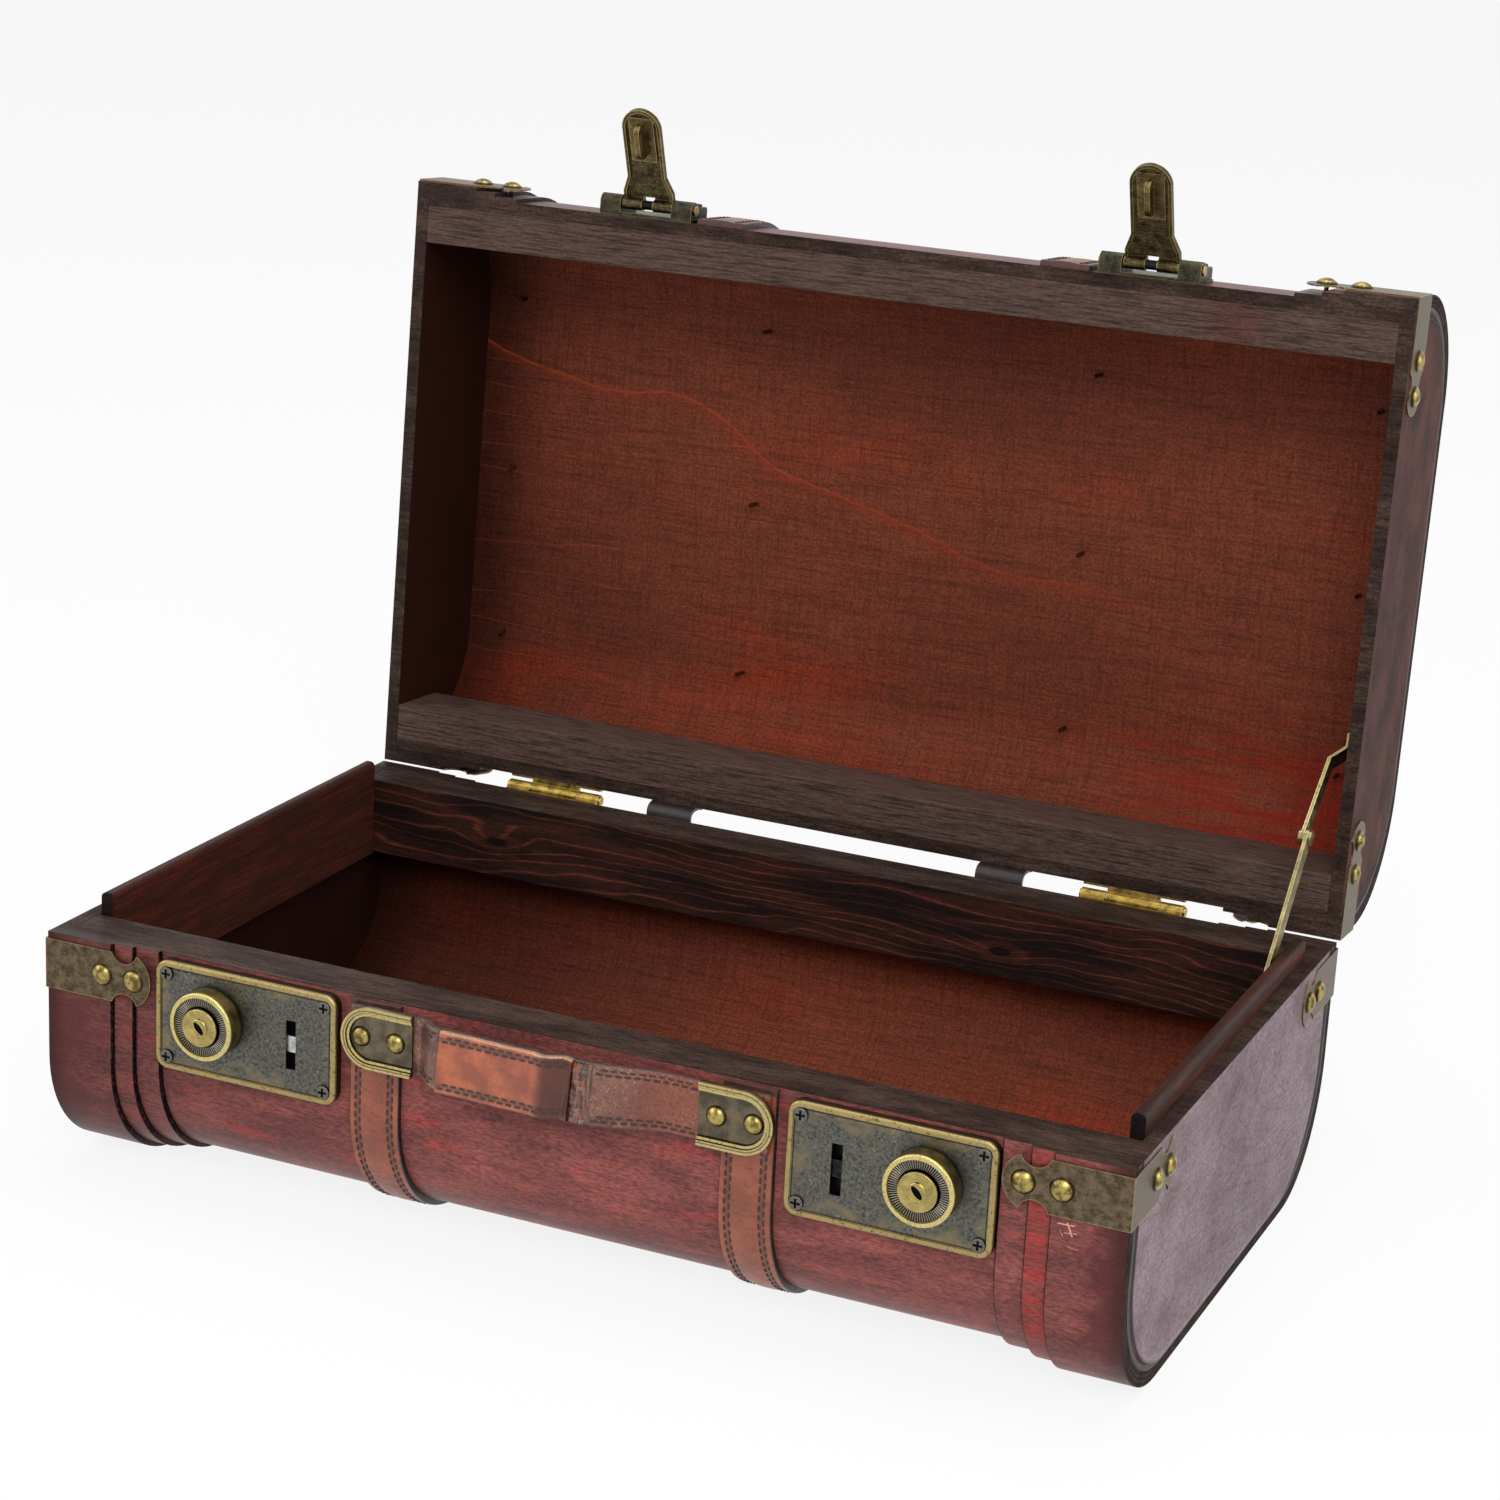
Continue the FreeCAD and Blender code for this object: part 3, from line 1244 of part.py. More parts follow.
def hasp_tongue():
    middle, level = hasp_place, hasp_slot_level
    half_plate, plate_reach = s.tongue_plate_width / 2, s.tongue_plate_length / 2
    plate = rectangle(middle - half_plate, middle + half_plate, level - plate_reach, level + plate_reach)
    body = padded("hasp_tongue", "XZ", leaf_face, leaf_face + s.tongue_plate_thickness, plate)
    half_fin, fin_reach = s.tongue_thickness / 2, s.tongue_length / 2
    tip = leaf_face + s.tongue_reach
    bend = s.tongue_round
    fin = [
        (leaf_face, level - fin_reach),
        (tip - bend, level - fin_reach),
        (tip, level - fin_reach + bend, bend),
        (tip, level + fin_reach - bend),
        (tip - bend, level + fin_reach, bend),
        (leaf_face, level + fin_reach),
    ]
    slab(body, "Pad", "YZ", middle - half_fin, middle + half_fin, fin)
    window_end = tip - s.tongue_tip_depth
    half_window = s.tongue_window_length / 2
    window_start = window_end - s.tongue_window_depth
    window = rectangle(window_start, window_end, level - half_window, level + half_window)
    slab(body, "Pocket", "YZ", middle - half_fin - s.drill_overrun, middle + half_fin, window)
    return body


leaf_front = hasp_pivot_back - s.hasp_barrel_radius
leaf_face = leaf_front + s.hasp_leaf_thickness
lug_near = s.hasp_leaf_width / 2 + s.hasp_lug_gap
lug_far = s.hasp_base_width / 2 - s.hasp_block_inset
hasp_swing = lid_swing * swing(s.hasp_open_angle, hasp_pivot_back, hasp_pivot_level)
node_pair(cut("hasp_base_drilled", hasp_base(), hasp_screw_drills), "hasp_base", lid_swing)
node_pair(hasp_leaf(), "hasp_leaf", hasp_swing)
node_pair(hasp_tongue(), "hasp_tongue", hasp_swing)
hasp_pivots = [spot(hasp_place * side, hasp_pivot_back, hasp_pivot_level, "right") for side in (-1, 1)]
hasp_pin = headed_pin("hasp_pin", s.hasp_pin_radius, s.pin_head_radius, s.pin_head_height,
                      lug_far * 2 + s.pin_end_gap * 2)
node(copies("hasp_pin_pair", hasp_pin, hasp_pivots), "hasp_pins", lid_swing)
half_spring = s.hasp_spring_length / 2
hasp_spring = turned("hasp_spring", rectangle(
    s.hasp_spring_radius - s.hasp_spring_wire, s.hasp_spring_radius, -half_spring, half_spring))
node(copies("hasp_spring_pair", hasp_spring, hasp_pivots), "hasp_springs", lid_swing)


# Folding stay on the right: two brass bars on three pivots
def stay_knee(lid_pivot):
    """The middle pivot: a lower bar's length from the base's pivot and an upper bar's from the lid's."""
    foot = FreeCAD.Vector(0, amount(stay_base_back), amount(stay_base_level))
    lower, upper = amount(s.stay_lower_length), amount(s.stay_upper_length)
    line = lid_pivot - foot
    along = (lower ** 2 - upper ** 2 + line.Length ** 2) / (line.Length * 2)
    aside = math.sqrt(lower ** 2 - along ** 2)
    towards = FreeCAD.Vector(line).normalize()
    forwards = SIDEWAYS.cross(towards)
    return foot, foot + towards * along + forwards * aside


def bar_place(inner_face, start, end):
    """Puts a bar drawn along Y on the line between two pivots."""
    lean = math.degrees(math.atan2(end.z - start.z, end.y - start.y))
    corner = FreeCAD.Vector(amount(inner_face), start.y, start.z)
    return FreeCAD.Placement(corner, FreeCAD.Rotation(SIDEWAYS, lean))


def stay_lower_bar():
    radius, hole = s.stay_bar_width / 2, s.stay_rivet_radius + s.running_clearance
    body = padded("stay_lower_bar", "YZ", 0, s.stay_bar_thickness,
                  long_hole(0, s.stay_lower_length, 0, radius))
    for along in (0, s.stay_lower_length):
        slab(body, "Pocket", "YZ", 0, s.stay_bar_thickness, circle(along, 0, hole))
    return body


def across_bar(edge):
    limit = amount(s.running_clearance)
    first, last = (vertex.Point for vertex in edge.Vertexes)
    return abs(first.y - last.y) < limit and abs(first.z - last.z) < limit


def stay_upper_bar():
    """Stepped towards the lid's end panel short of its far pivot, which shows a rivet's head."""
    thickness, width, length = s.stay_bar_thickness, s.stay_bar_width, s.stay_upper_length
    step_end = length - s.stay_joggle_flat
    step_start = step_end - s.stay_joggle_run
    far_end = length + width / 2
    path = [
        (0, -width / 2),
        (thickness, -width / 2),
        (thickness, step_start),
        (thickness + s.stay_joggle, step_end),
        (thickness + s.stay_joggle, far_end),
        (s.stay_joggle, far_end),
        (s.stay_joggle, step_end),
        (0, step_start),
    ]
    body = padded("stay_upper_bar", "XY", -width / 2, width / 2, path)
    rounded_edges(body, "stay_upper_bar_round", s.stay_bar_end_round, across_bar)
    hole = circle(0, 0, s.stay_rivet_radius + s.running_clearance)
    slab(body, "Pocket", "YZ", 0, thickness, hole)
    slab(body, "Pad", "YZ", s.stay_joggle - s.stay_rivet_head_height, s.stay_joggle,
         circle(length, 0, s.stay_rivet_head_radius))
    return body


lid_pivot_shut = FreeCAD.Vector(0, amount(stay_lid_back), amount(stay_lid_level))
lid_pivot_open = lid_swing.multVec(lid_pivot_shut)
stay_foot, knee_open = stay_knee(lid_pivot_open)
upper_bar_inner = stay_bar_inner - s.stay_bar_gap - s.stay_bar_thickness
node(stay_lower_bar(), "stay_lower_arm", bar_place(stay_bar_inner, stay_foot, knee_open))
node(stay_upper_bar(), "stay_upper_arm", bar_place(upper_bar_inner, knee_open, lid_pivot_open))
stay_rivet = dome_nail("stay_rivet", s.stay_rivet_head_radius, s.stay_rivet_head_height,
                       s.stay_rivet_radius, stay_grip, 0)
node(copies("stay_rivet_group", stay_rivet, [stay_base_pivot]), "stay_lower_rivet")
knee_grip = stay_bar_outer - upper_bar_inner + s.running_clearance * 2
knee_rivet = headed_pin("knee_rivet", s.stay_rivet_radius, s.stay_rivet_head_radius,
                        s.stay_rivet_head_height, knee_grip)
knee_place = spot((stay_bar_outer + upper_bar_inner) / 2, knee_open.y, knee_open.z, "right")
node(copies("knee_rivet_group", knee_rivet, [knee_place]), "stay_mid_rivet")
stud_reach = lid_end_face - upper_bar_inner - s.stay_joggle - s.stay_bar_thickness - s.stay_stud_gap
stud_path = [
    (0, -stud_bite),
    (s.stay_rivet_radius, -stud_bite),
    (s.stay_rivet_radius, 0),
    (s.stay_stud_radius, 0),
    (s.stay_stud_radius, stud_reach),
    (0, stud_reach),
]
node(copies("stay_stud_group", turned("stay_stud", stud_path), [stud_place]), "stay_lid_stud", lid_swing)

# Checks of every object, then one file for each node
doc.recompute()
for thing in doc.Objects:
    if "Invalid" in thing.State or "Error" in thing.State:
        raise RuntimeError("%s didn't compute: %s" % (thing.Name, thing.State))
for pocket in pockets:
    before, after = pocket.BaseFeature.Shape.Volume, pocket.Shape.Volume
    if after >= before:
        raise RuntimeError("%s removes nothing" % pocket.Name)
os.makedirs("parts", exist_ok=True)
for piece in nodes:
    shape = piece.Shape
    if shape.isNull() or not shape.isValid():
        raise RuntimeError("%s has no valid shape" % piece.Label)
    shape.exportStep("parts/%s.step" % piece.Label)
    print("%s: %d solids, %.1f cubic millimetres" % (piece.Label, len(shape.Solids), shape.Volume))
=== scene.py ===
import math

import bpy
from mathutils import Matrix, Vector


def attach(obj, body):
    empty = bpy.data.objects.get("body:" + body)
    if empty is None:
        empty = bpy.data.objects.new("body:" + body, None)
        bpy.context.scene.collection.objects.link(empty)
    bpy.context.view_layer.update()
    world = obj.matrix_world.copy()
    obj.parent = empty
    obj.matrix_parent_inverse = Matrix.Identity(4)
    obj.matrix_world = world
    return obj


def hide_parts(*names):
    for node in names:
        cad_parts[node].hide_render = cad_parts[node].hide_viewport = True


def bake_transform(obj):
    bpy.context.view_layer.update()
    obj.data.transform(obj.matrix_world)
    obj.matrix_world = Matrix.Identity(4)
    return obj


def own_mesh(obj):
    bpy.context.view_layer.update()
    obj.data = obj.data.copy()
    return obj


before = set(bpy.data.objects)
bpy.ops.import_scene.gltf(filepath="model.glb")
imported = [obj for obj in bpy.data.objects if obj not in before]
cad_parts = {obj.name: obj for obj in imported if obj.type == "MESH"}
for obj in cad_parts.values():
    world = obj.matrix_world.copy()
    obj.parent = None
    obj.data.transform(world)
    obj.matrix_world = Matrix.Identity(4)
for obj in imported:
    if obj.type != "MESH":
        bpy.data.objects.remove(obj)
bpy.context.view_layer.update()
MM = 0.001


# Camera
# The view of the photograph: from the front right and a little above, with a long lens. The place and
# the three angles come from the corners of the base and the lid. The picture is square.
photo_pixels = 1500
focal_pixels = 3524.44
sensor_width = 36.0
camera_place = Vector((456.59, -1029.05, 501.93)) * MM
camera_turn = math.radians(23.34)
camera_rise = math.radians(17.25)
camera_roll = math.radians(2.97)


def camera_axes(turn, rise, roll):
    ahead = Vector((-math.sin(turn) * math.cos(rise), math.cos(turn) * math.cos(rise), -math.sin(rise)))
    level = Vector((math.cos(turn), math.sin(turn), 0))
    down = ahead.cross(level)
    across = level * math.cos(roll) - down * math.sin(roll)
    down = level * math.sin(roll) + down * math.cos(roll)
    return across, -down, -ahead


lens = bpy.data.cameras.new("camera")
lens.sensor_width = sensor_width
lens.lens = focal_pixels / photo_pixels * sensor_width
lens.clip_start = 0.05
lens.clip_end = 30
camera = bpy.data.objects.new("camera", lens)
bpy.context.scene.collection.objects.link(camera)
camera_matrix = Matrix(camera_axes(camera_turn, camera_rise, camera_roll)).transposed()
camera.matrix_world = Matrix.Translation(camera_place) @ camera_matrix.to_4x4()
bpy.context.scene.camera = camera


# Finishes
# Every finish is made of nodes on one material. A Value is a socket of it, and sums on a Value add
# Math nodes, so a pattern reads as an expression. Its lengths are millimetres.
base_rim = 85.2
lid_rim = base_rim + 0.3
hinge_line = Vector((0, 111.9, base_rim + 0.15)) * MM
lid_open = math.radians(94.4)


class Value:
    def __init__(self, finish, socket):
        self.finish = finish
        self.socket = socket

    def __add__(self, other):
        return self.finish.maths("ADD", self, other)

    def __radd__(self, other):
        return self.finish.maths("ADD", other, self)

    def __sub__(self, other):
        return self.finish.maths("SUBTRACT", self, other)

    def __rsub__(self, other):
        return self.finish.maths("SUBTRACT", other, self)

    def __mul__(self, other):
        return self.finish.maths("MULTIPLY", self, other)

    def __rmul__(self, other):
        return self.finish.maths("MULTIPLY", other, self)

    def __abs__(self):
        return self.finish.maths("ABSOLUTE", self)

    def fade(self, start, end, low=0.0, high=1.0):
        """Goes smoothly from low to high as the value goes from start to end, up or down."""
        return self.finish.add("ShaderNodeMapRange", {"interpolation_type": "SMOOTHSTEP"}, {
            "Value": self, "From Min": start, "From Max": end, "To Min": low, "To Max": high})

    def near(self, level, reach):
        """1 at the level, and 0 from this reach away from it."""
        return abs(self - level).fade(reach, 0)

    def between(self, low, high, soft):
        """1 from low to high and 0 outside, with soft edges just inside."""
        return self.fade(low, low + soft) * self.fade(high, high - soft)

    def rings(self, count, width):
        """Thin lines, one for each time that the value, times the count, grows by 1."""
        return self.finish.maths("FRACT", self * count).near(0.5, width)


def paint(red, green, blue):
    """A colour given in steps of 0 to 255, as the linear shares that a shader takes."""
    shares = (step / 255 for step in (red, green, blue))
    linear = [share / 12.92 if share <= 0.04045 else ((share + 0.055) / 1.055) ** 2.4 for share in shares]
    return (*linear, 1.0)


class Finish:
    """A material and the nodes that make it. For the lid, places are those of the shut chest."""

    def __init__(self, name, on_lid=False):
        self.material = bpy.data.materials.new(name)
        self.material.use_nodes = True
        self.tree = self.material.node_tree
        self.shader = self.tree.nodes["Principled BSDF"]
        self.place = self.add("ShaderNodeTexCoord", out="Object")
        if on_lid:
            self.place = self.add("ShaderNodeVectorRotate", {"rotation_type": "X_AXIS"}, {
                "Vector": self.place, "Center": hinge_line, "Angle": lid_open})
        self.x, self.y, self.z = (
            self.add("ShaderNodeSeparateXYZ", {}, {"Vector": self.place}, out=axis) * 1000 for axis in "XYZ")

    def add(self, kind, settings={}, sockets={}, out=0):
        """Adds a node: its settings first, then the values and links of its sockets."""
        node = self.tree.nodes.new(kind)
        for name, setting in settings.items():
            setattr(node, name, setting)
        self.fill(node, sockets)
        return Value(self, node.outputs[out])

    def fill(self, node, sockets):
        for name, value in sockets.items():
            if isinstance(value, Value):
                self.tree.links.new(value.socket, node.inputs[name])
            else:
                node.inputs[name].default_value = value

    def maths(self, operation, *terms):
        return self.add("ShaderNodeMath", {"operation": operation}, dict(enumerate(terms)))

    def vector(self, operation, *terms, out=0):
        return self.add("ShaderNodeVectorMath", {"operation": operation}, dict(enumerate(terms)), out)

    def hypot(self, *sides):
        """Length of the arrow with these sides."""
        return self.maths("SQRT", sum(side * side for side in sides))

    def noise(self, size, detail=4.0, roughness=0.55, warp=0.0, shift=0.0):
        """Cloudy pattern from 0 to 1, whose patches have about this size, or these three, in millimetres."""
        lengths = size if isinstance(size, tuple) else (size, size, size)
        spread = [1 / (length * MM) for length in lengths]
        place = self.vector("MULTIPLY_ADD", self.place, spread, (shift, shift, shift))
        return self.add("ShaderNodeTexNoise", {}, {
            "Vector": place, "Scale": 1.0, "Detail": detail, "Roughness": roughness, "Distortion": warp})

    def mix(self, share, first, second, way="MIX"):
        return self.add("ShaderNodeMix", {"data_type": "RGBA", "blend_type": way}, {
            0: share, 6: first, 7: second}, out=2)

    def layers(self, colour, *coats):
        """Lays colours over the first, one after the other, each with its share."""
        for share, coat in coats:
            colour = self.mix(share, colour, coat)
        return colour

    def shaded(self, colour, share):
        """A colour made darker or lighter by a share."""
        return self.mix(1.0, colour, share, "MULTIPLY")

    def grained(self, colour, depth, size=(2.4, 0.8, 0.8)):
        """A colour with a fine speckle over it, which darkens and lightens it by up to this share."""
        speck = self.noise(size, detail=2, roughness=0.75, shift=8.3)
        return self.shaded(colour, speck.fade(0.3, 0.7, 1 - depth, 1 + depth))

    def worn_edges(self, radius):
        """1 along sharp edges and 0 on flats."""
        rounded = self.add("ShaderNodeBevel", {"samples": 4}, {"Radius": radius * MM})
        flat = self.add("ShaderNodeNewGeometry", out="Normal")
        return (1 - self.vector("DOT_PRODUCT", rounded, flat, out="Value")).fade(0.02, 0.35)

    def distance_to(self, centre):
        """Distance from a place, the same on both sides of the chest."""
        mirrored = self.vector("ABSOLUTE", self.place)
        return self.vector("DISTANCE", mirrored, [length * MM for length in centre], out="Value") * 1000

    def finished(self, colour, roughness, height=None, **settings):
        """Joins colour, roughness and a relief in millimetres to the shader, and sets its plain values."""
        sockets = {"Base Color": colour, "Roughness": roughness}
        if height is not None:
            sockets["Normal"] = self.add("ShaderNodeBump", {}, {"Height": height * MM, "Distance": 1.0})
        for name, value in settings.items():
            sockets[name.replace("_", " ").title().replace("Ior", "IOR")] = value
        self.fill(self.shader, sockets)
        return self


def dress(finish, *names):
    """Gives CAD nodes this finish."""
    for name in names:
        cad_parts[name].material_slots[0].material = finish.material


# Studio
# A plain white table and backdrop, with four large soft lamps: a key from the front right, a fill from
# the left, one above and a weak one from the right. The table only keeps a faint shadow.
floor_size = 14.0
floor_white = (0.9, 0.9, 0.9, 1.0)
floor_roughness = 0.9
pure_white = (1, 1, 1, 1)
shadow_share = 0.86
room_light_on_things = 0.45
room_light_seen = 1.0
lamps = [
    ("key", (0.9, -1.7, 1.7), 1.3, 24),
    ("fill", (-1.8, -1.2, 1.2), 1.4, 12),
    ("top", (0.1, 0.3, 2.2), 1.5, 16),
    ("right", (2.1, 0.1, 0.9), 1.0, 9),
]
lamp_aim = Vector((0, 0, 0.12))

floor_mesh = bpy.data.meshes.new("floor")
corners = [(-1, -1), (1, -1), (1, 1), (-1, 1)]
floor_mesh.from_pydata([(x * floor_size / 2, y * floor_size / 2, 0) for x, y in corners], [], [(0, 1, 2, 3)])
floor = bpy.data.objects.new("floor", floor_mesh)
bpy.context.scene.collection.objects.link(floor)


def seen_by_camera(tree):
    """1 for what the camera sees itself or in a shine, 0 for the light that falls on things."""
    path = tree.nodes.new("ShaderNodeLightPath")
    seen = path.outputs["Is Camera Ray"]
    for ray in ("Is Glossy Ray", "Is Transmission Ray"):
        either = tree.nodes.new("ShaderNodeMath")
        either.operation = "MAXIMUM"
        tree.links.new(seen, either.inputs[0])
        tree.links.new(path.outputs[ray], either.inputs[1])
        seen = either.outputs[0]
    return seen


table = Finish("white_table")
table.finished(floor_white, floor_roughness)
white_light = table.add("ShaderNodeEmission", {}, {"Color": pure_white, "Strength": 1.0})
camera_sees = Value(table, seen_by_camera(table.tree))
both = table.add("ShaderNodeMixShader", {}, {
    0: camera_sees * shadow_share, 1: Value(table, table.shader.outputs[0]), 2: white_light})
table.tree.links.new(both.socket, table.tree.nodes["Material Output"].inputs["Surface"])
floor_mesh.materials.append(table.material)

world = bpy.data.worlds.new("studio")
world.use_nodes = True
bpy.context.scene.world = world
room = world.node_tree.nodes["Background"]
room.inputs["Color"].default_value = pure_white
room_light = world.node_tree.nodes.new("ShaderNodeMapRange")
room_light.inputs["To Min"].default_value = room_light_on_things
room_light.inputs["To Max"].default_value = room_light_seen
world.node_tree.links.new(seen_by_camera(world.node_tree), room_light.inputs["Value"])
world.node_tree.links.new(room_light.outputs[0], room.inputs["Strength"])

for name, place, size, power in lamps:
    lamp = bpy.data.lights.new(name, "AREA")
    lamp.shape = "DISK"
    lamp.size = size
    lamp.energy = power
    holder = bpy.data.objects.new(name, lamp)
    bpy.context.scene.collection.objects.link(holder)
    holder.location = place
    holder.rotation_euler = (Vector(place) - lamp_aim).to_track_quat("Z", "Y").to_euler()
bpy.context.scene.view_settings.view_transform = "Standard"


# Plywood shells
# Base and lid are each one sheet of 4.6 mm plywood, bent from the front wall round the bottom or top to
# the back wall. Outside it has a mauve brown stain under a satin varnish, inside a thinner red brown one.
half_length = 190.0
half_depth = 111.5
lid_top = lid_rim + 63.4
bend_radius = 41.5
bands_depth = 3.9
skin_face = half_depth - bands_depth
inner_band_edge = 148.2
board_half = 103.0
board_low = 3.6
board_bend = 43.0
tongue_middle = 16.0
tongue_level = 62.0
lock_patch_sides = (81.0, 146.0)
lock_patch_levels = (base_rim - 38.4, base_rim - 2.4)
wave_length = 380.0
wave_height = 120.0
wave_knots = [(-186, -49), (-150, -39), (-128, -36), (-104, -38), (-84, -32), (-56, -14), (-30, -8), (0, 0),
              (35, 11), (74, 12.5), (120, 24), (186, 30)]
mahogany_dark = paint(110, 64, 61)
mahogany = paint(150, 84, 78)
mahogany_red = paint(184, 66, 60)
mahogany_grey = paint(86, 55, 56)
# Black for dark joints, pores and cut edges, also used for painted shade in gaps, slots and behind parts.
seam_and_shade_black = paint(17, 12, 12)
inside_dark = paint(74, 36, 25)
inside_brown = paint(120, 60, 41)
inside_red = paint(146, 50, 28)
inside_line = paint(172, 74, 44)
inside_vivid = paint(136, 28, 12)
rim_brown = paint(50, 36, 31)
rim_grey = paint(78, 61, 53)
board_grey = paint(148, 132, 138)
board_mauve = paint(116, 98, 102)
board_brown = paint(84, 62, 60)
lid_end_dark = paint(54, 34, 31)
lid_end_red = paint(92, 56, 50)
end_speck = paint(58, 36, 36)
ply_brown = paint(66, 52, 48)
pore_brown = paint(72, 54, 54)
wood_shine = 0.08
varnish_roughness = 0.25


def from_bends(finish, on_lid, half, low, radius):
    """Distance from the middle line of a bent outline with this half depth and lowest level."""
    above = finish.z - (lid_top - low - radius) if on_lid else low + radius - finish.z
    beside = abs(finish.y) - (half - radius)
    return finish.hypot(*(finish.maths("MAXIMUM", length, 0.0) for length in (above, beside)))


def at_rim(finish, on_lid, reach=0.4):
    """1 on the faces of the rim, which lie level."""
    rim, way = (lid_rim, 1) if on_lid else (base_rim, -1)
    return finish.z.fade(rim + way * reach, rim + way * reach / 2)


def at_ends(finish):
    """1 on the two faces that end the chest."""
    return abs(finish.x).fade(half_length - 0.3, half_length - 0.1)


def stain(finish, red=0.5):
    """Mauve brown stain: short fine streaks along the chest, soft patches that are redder or greyer, and
    painted shade towards the left end.
    """
    streaks = finish.noise((15, 0.7, 0.7), detail=3, roughness=0.65)
    soft = finish.noise((34, 9, 9), detail=5, roughness=0.6)
    patches = finish.noise((36, 12, 12), detail=5, roughness=0.65, shift=3.7)
    redder = (patches + streaks * 0.2).fade(0.76 - red * 0.2, 0.92 - red * 0.2)
    toned = finish.layers(
        mahogany_dark,
        (soft.fade(0.3, 0.7), mahogany),
        (redder * 0.75, mahogany_red),
        (streaks.fade(0.48, 0.7) * 0.55, mahogany_grey))
    # Painted shade: darker towards the left end.
    toned = finish.shaded(toned, finish.x.fade(-190, -60, 0.66, 1.0))
    return finish.grained(toned, 0.34), streaks


def inside_stain(finish, red):
    """Thin red brown stain over a weave of fibres along and across, with slow changes of tone, and painted
    shade near the left end.
    """
    across = finish.noise((1.0, 18, 18), detail=3, roughness=0.65)
    along = finish.noise((24, 1.0, 1.0), detail=4, roughness=0.65)
    clouds = finish.noise((150, 60, 60), detail=4, roughness=0.5, shift=5.1)
    patches = finish.noise((90, 34, 34), detail=4, shift=9.4) + finish.y.fade(10, 100, 0.0, 0.16)
    brown = finish.layers(
        inside_dark,
        (clouds.fade(0.25, 0.6, 0.6, 1.0), inside_brown),
        (patches.fade(0.7 - red * 0.24, 1.1 - red * 0.24) * 0.8, inside_red),
        (across.fade(0.42, 0.74) * 0.5, inside_dark),
        (along.fade(0.42, 0.7) * 0.6, inside_dark))
    # Painted shade near the left end wall.
    brown = finish.shaded(brown, finish.x.fade(-184, -150, 0.35, 1.0))
    return finish.grained(brown, 0.32, (1.0, 0.9, 0.9)), across


def rim_stain(finish):
    """Dull grey brown of the cut edges, with dark pores."""
    fibres = finish.noise((8, 1.0, 1.0), detail=4, roughness=0.7)
    clouds = finish.noise((30, 8, 8), detail=4)
    tone = finish.layers(
        rim_brown,
        (clouds.fade(0.35, 0.7), rim_grey),
        (fibres.fade(0.4, 0.66) * 0.65, seam_and_shade_black))
    return finish.grained(tone, 0.36, (1.2, 0.9, 0.9)), fibres


def ply_edges(finish, on_lid):
    """Brown and black lines of the plies and of the veneer, where the sheets end."""
    outer = from_bends(finish, on_lid, half_depth, 0.0, bend_radius)
    ragged = finish.noise((6, 7, 7), detail=4, roughness=0.7)
    plies = finish.layers(
        ply_brown,
        ((outer + ragged * 1.4).rings(0.62, 0.36), seam_and_shade_black),
        (ragged.fade(0.4, 0.64) * 0.7, seam_and_shade_black))
    return finish.grained(plies, 0.3, (0.9, 0.9, 0.9))


def end_stain(finish, on_lid):
    """A board with pointed growth lines, mauve grey or on the lid dark, in an edge of plies."""
    reach = from_bends(finish, on_lid, board_half, board_low, board_bend)
    clouds = finish.noise((60, 26, 16), detail=4, roughness=0.6)
    fibres = finish.noise((0.6, 9, 0.6), detail=4, roughness=0.7)
    specks = finish.noise(2.6, detail=1)
    tone = finish.mix(clouds.fade(0.2, 0.7), board_mauve, board_grey)
    if on_lid:
        tone = finish.mix(clouds.fade(0.3, 0.7), lid_end_dark, lid_end_red)
    wander = finish.noise((30, 40, 16), detail=3, shift=1.7) * 20
    tongue = finish.maths("POWER", abs(finish.z - tongue_level), 1.5) * 0.45
    growth = (finish.y - tongue + wander + 21).rings(0.05, 0.07)
    tone = finish.layers(
        tone,
        (fibres.fade(0.46, 0.7) * 0.45, lid_end_dark if on_lid else board_brown),
        (growth * abs(finish.y - tongue_middle).fade(24, 62, 0.28, 0.0), pore_brown),
        (specks.fade(0.76, 0.8), end_speck))
    tone = finish.shaded(tone, 1 - finish.y.near(5, 70) * 0.16)
    tone = finish.mix(reach.fade(board_bend - 1.2, board_bend - 0.2) * 0.6, tone, ply_brown)
    tone = finish.grained(tone, 0.28, (1.3, 1.3, 1.0))
    is_board = (reach + finish.noise(5, detail=3) * 0.6).fade(board_bend + 0.4, board_bend)
    return finish.mix(is_board, ply_edges(finish, on_lid), tone)


def band_shadow(finish, edge):
    """Dark line at the foot of a band's edge, partly glue and dirt and partly painted shadow, wider on the
    left.
    """
    ragged = finish.noise((1.2, 1.6, 1.6), detail=3, roughness=0.7) * 0.9
    wide = finish.x.fade(-10, 10, 1.0, 0.4)
    inward = edge + 0.25 - abs(finish.x)
    return inward.fade(0.0, 0.3) * (inward - ragged * wide).fade(0.9, 0.2)


def growth_wave(finish):
    """The glow just below the one long wavy growth line inside the lid, and fainter lines further down."""
    curve = finish.tree.nodes.new("ShaderNodeFloatCurve")
    line = curve.mapping.curves[0]
    shares = [(x / wave_length + 0.5, y / wave_height + 0.5) for x, y in wave_knots]
    line.points[0].location, line.points[1].location = shares[0], shares[-1]
    for knot in shares[1:-1]:
        line.points.new(*knot)
    curve.mapping.update()
    finish.fill(curve, {"Value": finish.x * (1 / wave_length) + 0.5})
    level = (Value(finish, curve.outputs[0]) - 0.5) * wave_height
    away = finish.y - level - finish.noise(8, detail=4) * 3 + 1.5
    below = away.fade(-0.4, 0.4)
    glow = below * away.fade(6, 0) * finish.x.fade(100, 66)
    stripes = finish.y + finish.noise((120, 40, 40), detail=2, shift=4.4) * 26
    patches = finish.noise((50, 30, 30), detail=2, shift=7.7).fade(0.4, 0.62)
    return glow, stripes.rings(0.085, 0.035) * below * patches


